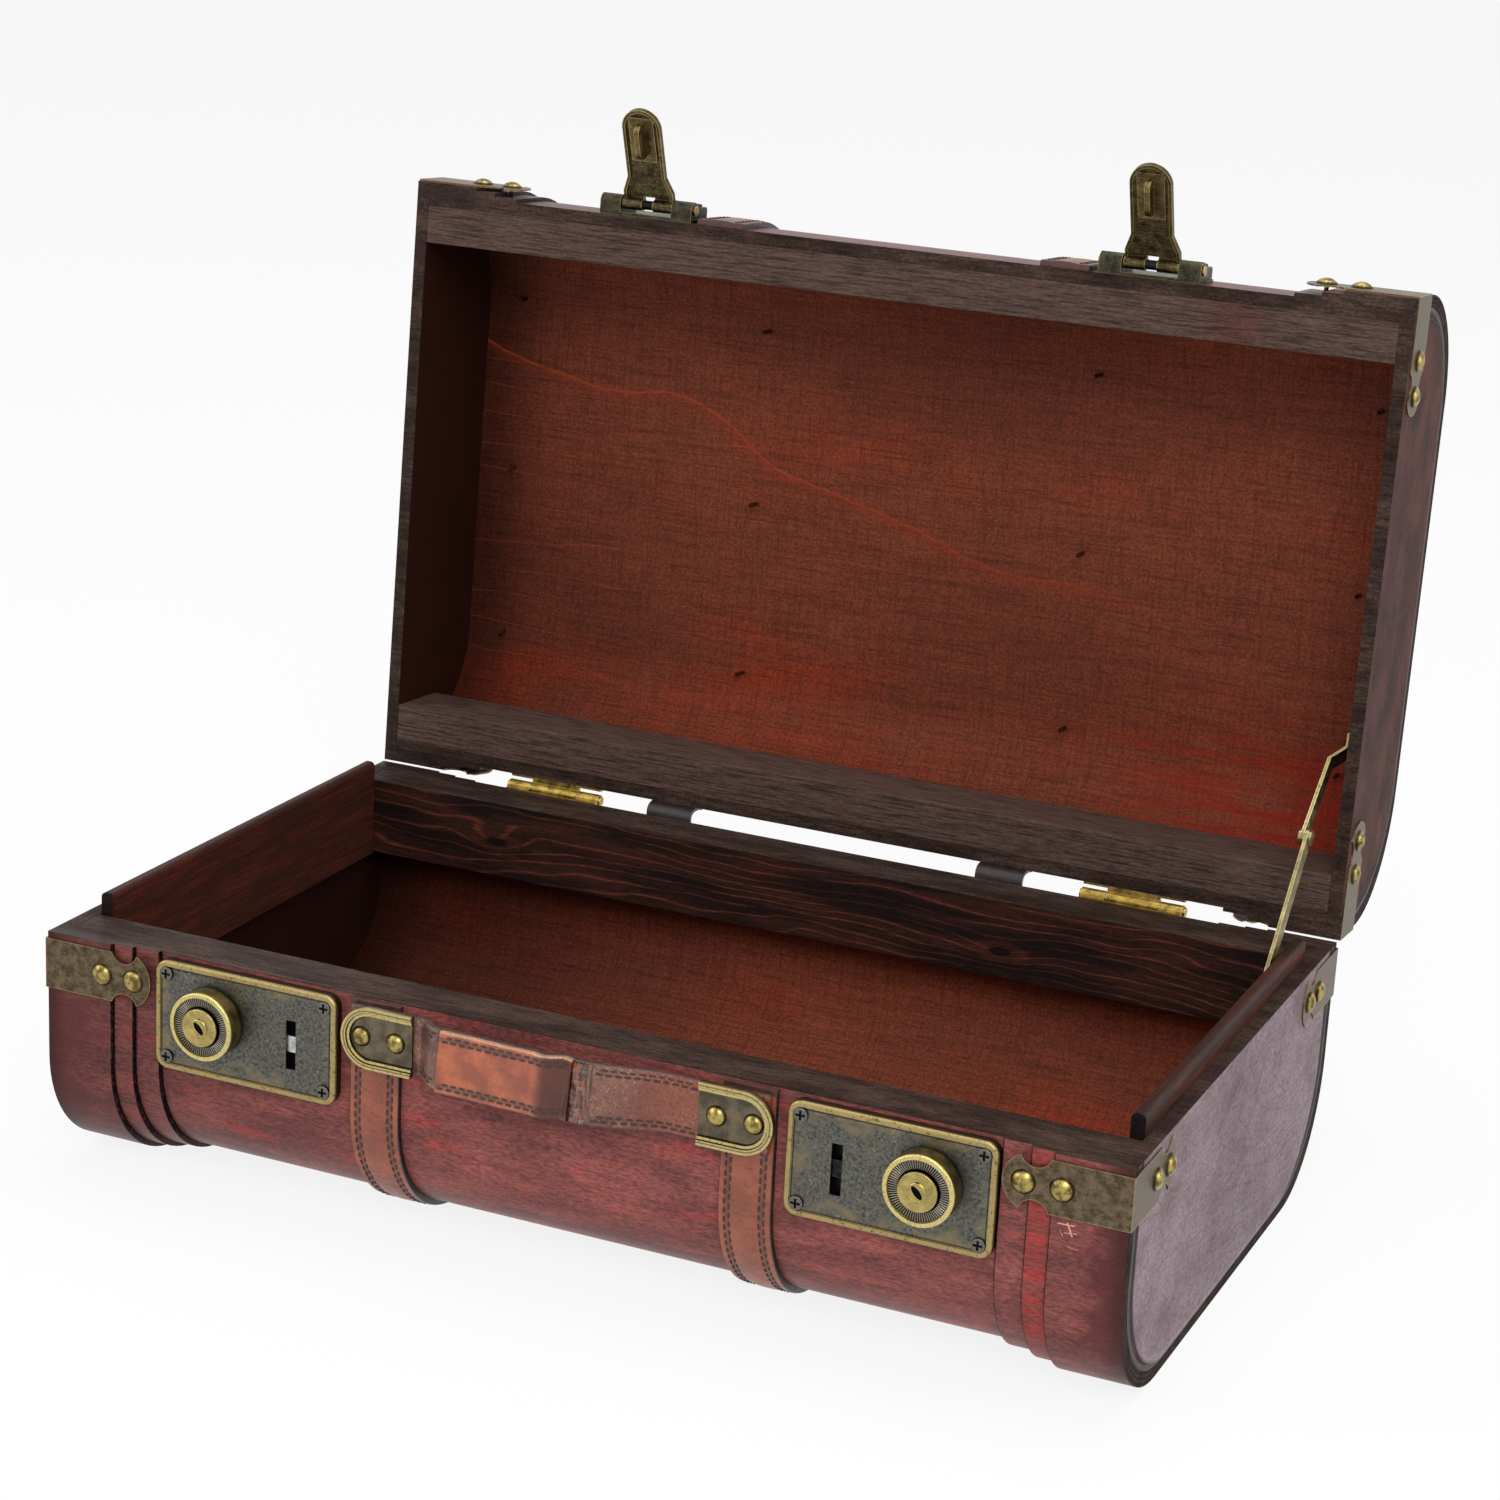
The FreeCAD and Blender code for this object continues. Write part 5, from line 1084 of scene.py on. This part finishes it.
def shell_path(on_lid, front_end, back_end):
    """Points and outward directions along a shell's plywood, from its front rim round to its back rim."""
    corner = skin_face - bend_radius
    level = lid_top - bands_depth - bend_radius if on_lid else bands_depth + bend_radius
    way = 1 if on_lid else -1
    bend_steps = int(math.pi / 2 * bend_radius / bend_step)
    angles = [math.pi / 2 * step / bend_steps for step in range(bend_steps + 1)]
    stops = []
    for step in range(wall_steps):
        stops.append(((-skin_face, front_end + (level - front_end) * step / wall_steps), (-1, 0)))
    for angle in angles:
        out = (-math.cos(angle), way * math.sin(angle))
        stops.append(((-corner + out[0] * bend_radius, level + out[1] * bend_radius), out))
    for step in range(1, flat_steps):
        stops.append(((-corner + 2 * corner * step / flat_steps, level + way * bend_radius), (0, way)))
    for angle in angles:
        out = (math.sin(angle), way * math.cos(angle))
        stops.append(((corner + out[0] * bend_radius, level + out[1] * bend_radius), out))
    for step in range(1, wall_steps + 1):
        stops.append(((skin_face, level + (back_end - level) * step / wall_steps), (1, 0)))
    return [(Vector((0, *place)), Vector((0, *out))) for place, out in stops]


def ribbon(path, across, section):
    """Points and faces of a strip with this section, (sideways, height) pairs, along a path."""
    points = [place + across * sideways + out * height for place, out in path for sideways, height in section]
    width = len(section)
    faces = loop_faces(len(path), width)
    faces.append(tuple(range(width)))
    faces.append(tuple(len(points) - 1 - step for step in range(width)))
    return points, faces


def stitches(path, across, rows, height, skip=1.5):
    """Points and faces of rows of short stitches along a path: low domes, pulled in at both ends."""
    lengths = [0.0]
    for (before, _), (after, _) in zip(path, path[1:]):
        lengths.append(lengths[-1] + (after - before).length)

    def at(distance):
        index = next((i for i, length in enumerate(lengths) if length >= distance), len(lengths) - 1)
        index = max(1, index)
        share = (distance - lengths[index - 1]) / max(lengths[index] - lengths[index - 1], 1e-6)
        place = path[index - 1][0].lerp(path[index][0], share)
        out = path[index - 1][1].lerp(path[index][1], share).normalized()
        return place, out, (path[index][0] - path[index - 1][0]).normalized()

    points, faces = [], []
    for number, row in enumerate(rows):
        distance = skip + (number % 2) * stitch_pitch / 2
        while distance < lengths[-1] - skip - stitch_length:
            place, out, along = at(distance + stitch_length / 2)
            faces += loop_faces(len(stitch_rings), stitch_sides, len(points))
            for share, thickness, lift in stitch_rings:
                centre = place + across * row + out * (height + lift * stitch_radius)
                centre = centre + along * share * stitch_length
                for side in range(stitch_sides):
                    angle = math.tau * side / stitch_sides
                    points.append(centre + across * math.cos(angle) * stitch_radius * thickness
                                  + out * math.sin(angle) * stitch_radius * thickness)
            distance += stitch_pitch
    return points, faces


def leather_finish(name, on_lid, light, middle, dark, edge_at=None):
    """Dyed leather: cloudy colour, a fine pebbled grain, creases, black on the cut edges, and painted shade
    along the stitch furrows and, on the lid, towards the strap's ends.
    """
    finish = Finish(name, on_lid)
    clouds = finish.noise(14, detail=4, roughness=0.6)
    pebbles = finish.add("ShaderNodeTexVoronoi", {}, {"Vector": finish.place, "Scale": 1100.0})
    creases = finish.noise((3.2, 3.2, 1.2), detail=4, roughness=0.65, warp=0.8)
    colour = finish.layers(middle, (clouds.fade(0.32, 0.68), light), (creases.fade(0.55, 0.72) * 0.5, dark))
    if edge_at is not None:
        away = abs(abs(finish.x) - strap_place)
        # Painted shade along the furrow between each pair of stitch rows; the cut edges are black.
        colour = finish.layers(
            colour, (away.near(5.95, 1.6) * 0.5, dark), (away.fade(edge_at - 0.35, edge_at), seam_and_shade_black))
    # On the lid, painted shade darkens the strap over 26 mm from the rim; on the base, only the strap's end
    # by the rim is dark.
    if on_lid:
        end_dark_and_shade = finish.z.fade(lid_rim, lid_rim + lid_strap_end_shade, 0.85, 0.0)
    else:
        end_dark_and_shade = finish.z.fade(base_rim - 3.4, base_rim - 2.2, 0.0, 0.85)
    colour = finish.grained(finish.mix(end_dark_and_shade, colour, dark), 0.16, (0.6, 0.6, 0.6))
    roughness = creases.fade(0.3, 0.7, *leather_roughness)
    return finish.finished(
        colour, roughness, pebbles * -0.06 + creases * 0.12, coat_weight=0.15, coat_roughness=0.3)


thread = Finish("dark_thread")
thread_twist = thread.noise(0.4, detail=2)
thread.finished(thread.mix(thread_twist, thread_dark, thread_light), 0.75, thread_twist * 0.08)

strap_section = [
    (-strap_half, 0.02), (-strap_half, strap_face_height - 0.35), (-strap_half + 0.35, strap_face_height),
    (-7.6, strap_face_height), (-6.0, strap_face_height - 0.25), (-4.4, strap_face_height + 0.05),
    (-2.0, strap_height), (2.0, strap_height),
    (4.2, strap_face_height + 0.05), (5.7, strap_face_height - 0.25), (7.4, strap_face_height),
    (strap_half - 0.35, strap_face_height), (strap_half, strap_face_height - 0.35), (strap_half, 0.02),
]
sideways = Vector((1, 0, 0))
shell_straps = {
    "base": (False, base_rim - 0.8, base_rim - 6.0),
    "lid": (True, lid_rim + 0.8, lid_rim + 6.0),
}
for shell, (on_lid, front_end, back_end) in shell_straps.items():
    strap_leather = leather_finish(shell + "_strap_leather", on_lid, leather_orange, leather_brown,
                                   leather_dark, edge_at=strap_half - 0.1)
    for side, hand in ((-1, "left"), (1, "right")):
        path = [(place + sideways * strap_place * side, out)
                for place, out in shell_path(on_lid, front_end, back_end)]
        pieces = [
            ("strap", ribbon(path, sideways, strap_section), strap_leather),
            ("strap_stitches", stitches(path, sideways, stitch_rows, strap_face_height - 0.15), thread),
        ]
        for label, (points, faces), finish in pieces:
            if on_lid:
                points = [opened(point) for point in points]
            thing = new_piece("%s_%s_%s" % (shell, label, hand), points, faces, finish)
            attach(thing, shell)
            if label == "strap":
                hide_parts(shell + "_straps")


# Strap folds
# Thinner leather carries each strap across the hinge line at the back, glued to both shells. It is
# shaped for the open lid.
fold_height = 1.6
fold_half = 9.0
fold_steps = 8
fold_base_start = 5.9
fold_base_step = 0.9
fold_lid_start = 1.3
fold_lid_step = 0.8
fold_lid_steps = 6
fold_brown = paint(74, 42, 34)
fold_leather = leather_finish("fold_leather", False, fold_brown, leather_dark, seam_and_shade_black)
fold_section = [(-fold_half, 0.05), (-fold_half, fold_height - 0.3), (-fold_half + 0.3, fold_height),
                (fold_half - 0.3, fold_height), (fold_half, fold_height - 0.3), (fold_half, 0.05)]
fold_corner_rise = (hinge_line.y / MM - skin_face) * math.tan(lid_open / 2)
fold_inner_corner = Vector((0, skin_face, hinge_line.z / MM + fold_corner_rise))


def fold_path():
    """Up the base's back wall, round the open corner, and out along the lid's back wall."""
    up = [Vector((0, skin_face, base_rim - fold_base_start + fold_base_step * step))
          for step in range(fold_steps)]
    lid_line = [opened((0, skin_face, lid_rim + fold_lid_start + fold_lid_step * step))
                for step in range(fold_lid_steps)]
    corner = fold_inner_corner
    bend = []
    for step in range(1, fold_steps):
        share = step / fold_steps
        bend.append(up[-1].lerp(corner, share).lerp(corner.lerp(lid_line[0], share), share))
    places = up + bend + lid_line
    path = []
    for index, place in enumerate(places):
        before, after = places[max(index - 1, 0)], places[min(index + 1, len(places) - 1)]
        along = (after - before).normalized()
        path.append((place, Vector((0, along.z, -along.y))))
    return path


for side, hand in ((-1, "left"), (1, "right")):
    path = [(place + sideways * strap_place * side, out) for place, out in fold_path()]
    points, faces = ribbon(path, sideways, fold_section)
    fold = new_piece("strap_fold_" + hand, points, faces, fold_leather)
    fold_face = skin_face + fold_height / 2
    opened((0, fold_face, lid_rim + 3)) * MM
    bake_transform(fold)
    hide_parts("strap_folds")


# Handle
# A 20 mm leather strap, pebbled and grey brown, runs from clip to clip and stands out between them. Its
# left half has a second, glossy tan layer that ends in a fold, painted dark as shade, and a raised seam.
# Both layers are sewn along both edges.
handle_half = 9.8
handle_back = 110.0
handle_thick = 2.0
handle_bulge = 6.0
handle_end = 73.4
left_bend = (-48.0, -39.0)
right_bend = (14.0, 41.0)
swell_most = 0.7
swell_rise = (-30, -8)
swell_fall = (-6, 14)
sleeve_span = (-37.8, 8.6)
sleeve_thick = 1.6
tilt_most = 1.6
tilt_rise = (-50, -36)
tilt_fall = (14, 44)
handle_creases = [(5.6, 1.5, 4.2), (-1.0, -0.9, 4.5)]
seam_span = (7.8, 15.6)
seam_middle = 11.7
seam_rows = 48
seam_columns = 16
seam_height = 1.5
handle_stitch_rows = (-8.2, -6.7, 6.7, 8.2)
upward = Vector((0, 0, 1))
pebble_grey = paint(134, 86, 68)
pebble_brown = paint(84, 46, 36)
pebble_highlight = paint(190, 150, 130)
seam_brown = paint(138, 84, 62)
tan_light = paint(184, 94, 54)
tan = paint(138, 64, 38)
tan_dark = paint(78, 36, 24)
tan_fold_shade = paint(66, 25, 11)
tan_frayed = paint(196, 150, 118)


def smooth(value, start, end):
    share = min(max((value - start) / (end - start), 0.0), 1.0)
    return share * share * (3 - 2 * share)


def handle_out(x):
    """How far the back of the leather stands in front of the straps."""
    swell = swell_most * smooth(x, *swell_rise) * (1 - smooth(x, *swell_fall))
    return (handle_bulge + swell) * smooth(x, *left_bend) * (1 - smooth(x, *right_bend))


def handle_path(start, end, lift):
    """Points and outward directions along the handle, on the back of the leather plus a lift."""
    count = int(end - start)
    path = []
    for number in range(count + 1):
        x = start + (end - start) * number / count
        slope = (handle_out(x + 0.2) - handle_out(x - 0.2)) / 0.4
        out = Vector((-slope, -1, 0)).normalized()
        path.append((Vector((x, -(handle_back + handle_out(x)), handle_level)) + out * lift, out))
    return path


def worn_shape(points):
    """Leans the left half out at the bottom, and pushes vertical creases into the leather."""
    moved = []
    for point in points:
        tilt = tilt_most * smooth(point.x, *tilt_rise) * (1 - smooth(point.x, *tilt_fall))
        push = -tilt * (handle_level - point.z) / handle_half
        for middle, depth, half in handle_creases:
            push += depth * (1 - smooth(abs(point.x - middle), 0, half))
        moved.append(point + Vector((0, push, 0)))
    return moved


def seam_lump():
    """A crumpled roll of leather across the strap, where the tan layer is turned under and sewn down."""
    start, end = seam_span
    points, faces = [], []
    for row in range(seam_rows + 1):
        level = handle_level - handle_half + 0.3 + (2 * handle_half - 0.6) * row / seam_rows
        wave = 0.5 * math.sin(level * 1.9) + 0.35 * math.sin(level * 3.7 + 1.0)
        for column in range(seam_columns + 1):
            share = column / seam_columns
            x = start + (end - start) * share + 0.35 * math.sin(level * 1.3) * math.sin(math.pi * share)
            swell = math.sin(math.pi * share) ** 0.6
            crease = 0.28 * math.sin(share * 9.5 + level * 0.8) * swell
            height = handle_thick - 0.4 + (seam_height + 0.32 * wave) * swell + crease
            points.append(Vector((x, -(handle_back + handle_out(x) + height), level)))
    for row in range(seam_rows):
        for column in range(seam_columns):
            corner = row * (seam_columns + 1) + column
            faces.append((corner, corner + 1, corner + seam_columns + 2, corner + seam_columns + 1))
    return points, faces


def pebbled_finish():
    """Grey brown pebbled leather, tan at its right end, dark in the crumpled seam and along the edges, with
    painted highlights on the pebble tops.
    """
    finish = Finish("pebbled_leather")
    cells = finish.add("ShaderNodeTexVoronoi", {}, {"Vector": finish.place, "Scale": 900.0})
    fine = finish.noise(0.9, detail=3, roughness=0.7)
    clouds = finish.noise((12, 12, 8), detail=4)
    in_seam = abs(finish.x - seam_middle).fade(4.4, 3.4)
    creases = finish.noise((0.9, 2, 6), detail=3, roughness=0.65, warp=0.5)
    # Painted highlights on the pebble tops.
    tops = cells.fade(0.4, 0.1) * clouds.fade(0.4, 0.6)
    tone = finish.layers(
        pebble_brown,
        (clouds.fade(0.35, 0.65), pebble_grey),
        (finish.x.fade(16, 44, 0.0, 0.9), tan),
        (fine.fade(0.45, 0.68) * 0.7, leather_dark),
        (in_seam * 0.9, finish.mix(creases.fade(0.4, 0.58), seam_brown, leather_dark)),
        (tops * 0.4 * (1 - in_seam), pebble_highlight),
        (abs(finish.z - handle_level).fade(9.2, 9.7) * 0.8, leather_dark))
    return finish.finished(tone, fine.fade(0.3, 0.7, 0.28, 0.5), cells * -0.26 + fine * 0.14,
                           coat_weight=0.35, coat_roughness=0.28)


def tan_finish():
    """Glossy tan leather with long soft folds, painted shade over its right end where it folds and along its
    stitch furrows, and frayed along its upper edge.
    """
    finish = Finish("glossy_tan_leather")
    clouds = finish.noise((9, 9, 7), detail=4)
    pores = finish.noise(0.55, detail=3, roughness=0.7)
    folds = finish.noise((4.5, 4.5, 16), detail=3, roughness=0.55, shift=2.9)
    frayed = finish.noise((1.2, 1.2, 0.5), detail=4, roughness=0.7) * 0.8
    # Painted shade over the fold at the right end, and along the stitch furrows below.
    shaded_fold_mask = (finish.x + clouds * 3).fade(-3, 2.5)
    tone = finish.layers(
        tan,
        (clouds.fade(0.35, 0.65), tan_light),
        (pores.fade(0.5, 0.7) * 0.45, tan_dark),
        (abs(finish.z - handle_level).near(7.4, 1.3) * 0.65, leather_dark),
        (shaded_fold_mask * 0.92, tan_fold_shade),
        ((finish.z + frayed).fade(handle_level + 9.4, handle_level + 9.9) * 0.7, tan_frayed),
        (finish.z.fade(handle_level - 9.3, handle_level - 9.7) * 0.8, leather_dark))
    roughness = (folds + pores * 0.2).fade(0.35, 0.8, 0.16, 0.38)
    return finish.finished(tone, roughness, pores * -0.08 + folds * 1.2,
                           coat_weight=(1 - shaded_fold_mask) * 0.45 + 0.1, coat_roughness=0.16)


handle_section = [
    (-handle_half, 0.05), (-handle_half, handle_thick - 0.5), (-handle_half + 0.4, handle_thick - 0.15),
    (-8.9, handle_thick - 0.05), (-7.45, handle_thick - 0.3), (-6.0, handle_thick - 0.05),
    (-2.0, handle_thick), (2.0, handle_thick),
    (6.0, handle_thick - 0.05), (7.45, handle_thick - 0.3), (8.9, handle_thick - 0.05),
    (handle_half - 0.4, handle_thick - 0.15), (handle_half, handle_thick - 0.5), (handle_half, 0.05),
]
sleeve_section = [(along, height * sleeve_thick / handle_thick) for along, height in handle_section]
pebbled = pebbled_finish()
lower_layer = handle_path(-handle_end, handle_end, 0.0)
upper_layer = handle_path(*sleeve_span, handle_thick - 0.05)
tail_layer = handle_path(-48.5, -38.5, handle_thick)
right_layer = handle_path(15.8, 50, handle_thick)
tail_rows = stitches(tail_layer, upward, handle_stitch_rows, -0.15, skip=0.5)
right_rows = stitches(right_layer, upward, handle_stitch_rows, -0.15, skip=0.5)
sleeve_rows = stitches(upper_layer, upward, handle_stitch_rows, sleeve_thick - 0.2, skip=0.8)
handle_pieces = [
    ("handle_leather", ribbon(lower_layer, upward, handle_section), pebbled, "handle_strap"),
    ("handle_tan_layer", ribbon(upper_layer, upward, sleeve_section), tan_finish(), "handle_sleeve"),
    ("handle_seam", seam_lump(), pebbled, None),
    ("handle_tail_stitches", tail_rows, thread, None),
    ("handle_right_stitches", right_rows, thread, None),
    ("handle_tan_stitches", sleeve_rows, thread, None),
]
for name, (points, faces), finish, node in handle_pieces:
    thing = new_piece(name, worn_shape(points), faces, finish)
    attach(thing, "base")
    if node:
        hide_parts(node)


# Handle clips
# Pressed brass clips hold the handle's ends under two rivets each. Their faces are a dull bronze, and two
# bright ridges follow the edge all round but for the inner end.
clip_face = -113.0
clip_outer_end = 75.9
clip_bend = 10.5
clip_dark = paint(80, 74, 62)
clip_light = paint(114, 104, 84)
ridge_brass = paint(196, 178, 122)
ridge_worn = paint(118, 104, 70)


def clip_finish():
    finish = Finish("clip_brass")
    clouds = finish.noise(6, detail=4)
    specks = finish.noise(0.7, detail=3, roughness=0.7)
    round_part = finish.maths("MAXIMUM", abs(finish.x) - (clip_outer_end - clip_bend), 0.0)
    from_edge = clip_bend - finish.hypot(round_part, finish.z - handle_level)
    tone = finish.layers(
        clip_dark,
        (clouds.fade(0.35, 0.65), clip_light),
        (specks.fade(0.55, 0.7) * 0.4, bronze_dark),
        (finish.y.fade(clip_face - 0.1, clip_face - 0.4),
         finish.mix(specks.fade(0.5, 0.72), ridge_brass, ridge_worn)),
        (from_edge.near(1.0, 0.45) * 0.75, bronze_dark),
        (from_edge.near(3.1, 0.35) * 0.85, seam_and_shade_black))
    return finish.finished(tone, specks.fade(0.3, 0.7, 0.26, 0.42), specks * 0.03, metallic=1.0)


dress(clip_finish(), "handle_clip_left", "handle_clip_right")


# Hasps
# Pressed leaves hang from plates on the lid, in a dark olive bronze with black hollows. Each has a lighter
# tongue riveted on for the lock, and a coil spring on the pin between its knuckles.
hasp_place = 96.2
hasp_pivot = opened((0, -112.0, base_rim + 4.5))
hasp_spring_half = 1.9
hasp_spring_radius = 1.5
hasp_spring_wire = 0.5
hasp_spring_turns = 7
leaf_tones = paint(36, 31, 22), paint(86, 74, 50), paint(192, 168, 112)
hasp_plate_tones = paint(40, 38, 32), paint(72, 68, 54), paint(146, 132, 98)
tongue_tones = paint(74, 62, 40), paint(124, 108, 70), paint(196, 176, 122)
dress(plated("hasp_bronze", *leaf_tones, edge=0.9, wear=0.42), "hasp_leaf_left", "hasp_leaf_right")
dress(plated("hasp_plate_bronze", *hasp_plate_tones), "hasp_base_left", "hasp_base_right")
dress(plated("tongue_bronze", *tongue_tones, wear=0.35), "hasp_tongue_left", "hasp_tongue_right")
for side, hand in ((1, "right"), (-1, "left")):
    middle = hasp_pivot + sideways * hasp_place * side
    half = sideways * hasp_spring_half
    spring = coil("hasp_spring_" + hand, middle - half, middle + half,
                  hasp_spring_radius, hasp_spring_wire, hasp_spring_turns, black_steel)
    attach(spring, "lid")
    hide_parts("hasp_springs")


# Hinges, stay and pins
# Brass barrel hinges join the shells at the back, and a folding stay of two flat brass bars holds the lid
# open on the right. The brass is yellow on the barrels and duller on the bars.
hinge_tones = paint(120, 98, 46), paint(190, 160, 82), paint(238, 214, 140)
stay_tones = paint(108, 98, 66), paint(166, 152, 106), paint(224, 208, 156)
hinge_brass = plated("hinge_brass", *hinge_tones, rough=0.34)
stay_brass = plated("stay_brass", *stay_tones, wear=0.35)
dress(hinge_brass, "base_hinge_leaves", "lid_hinge_leaves", "hinge_pins", "hasp_pins")
dress(stay_brass, "stay_lower_arm", "stay_upper_arm", "stay_lower_rivet", "stay_mid_rivet", "stay_lid_stud")
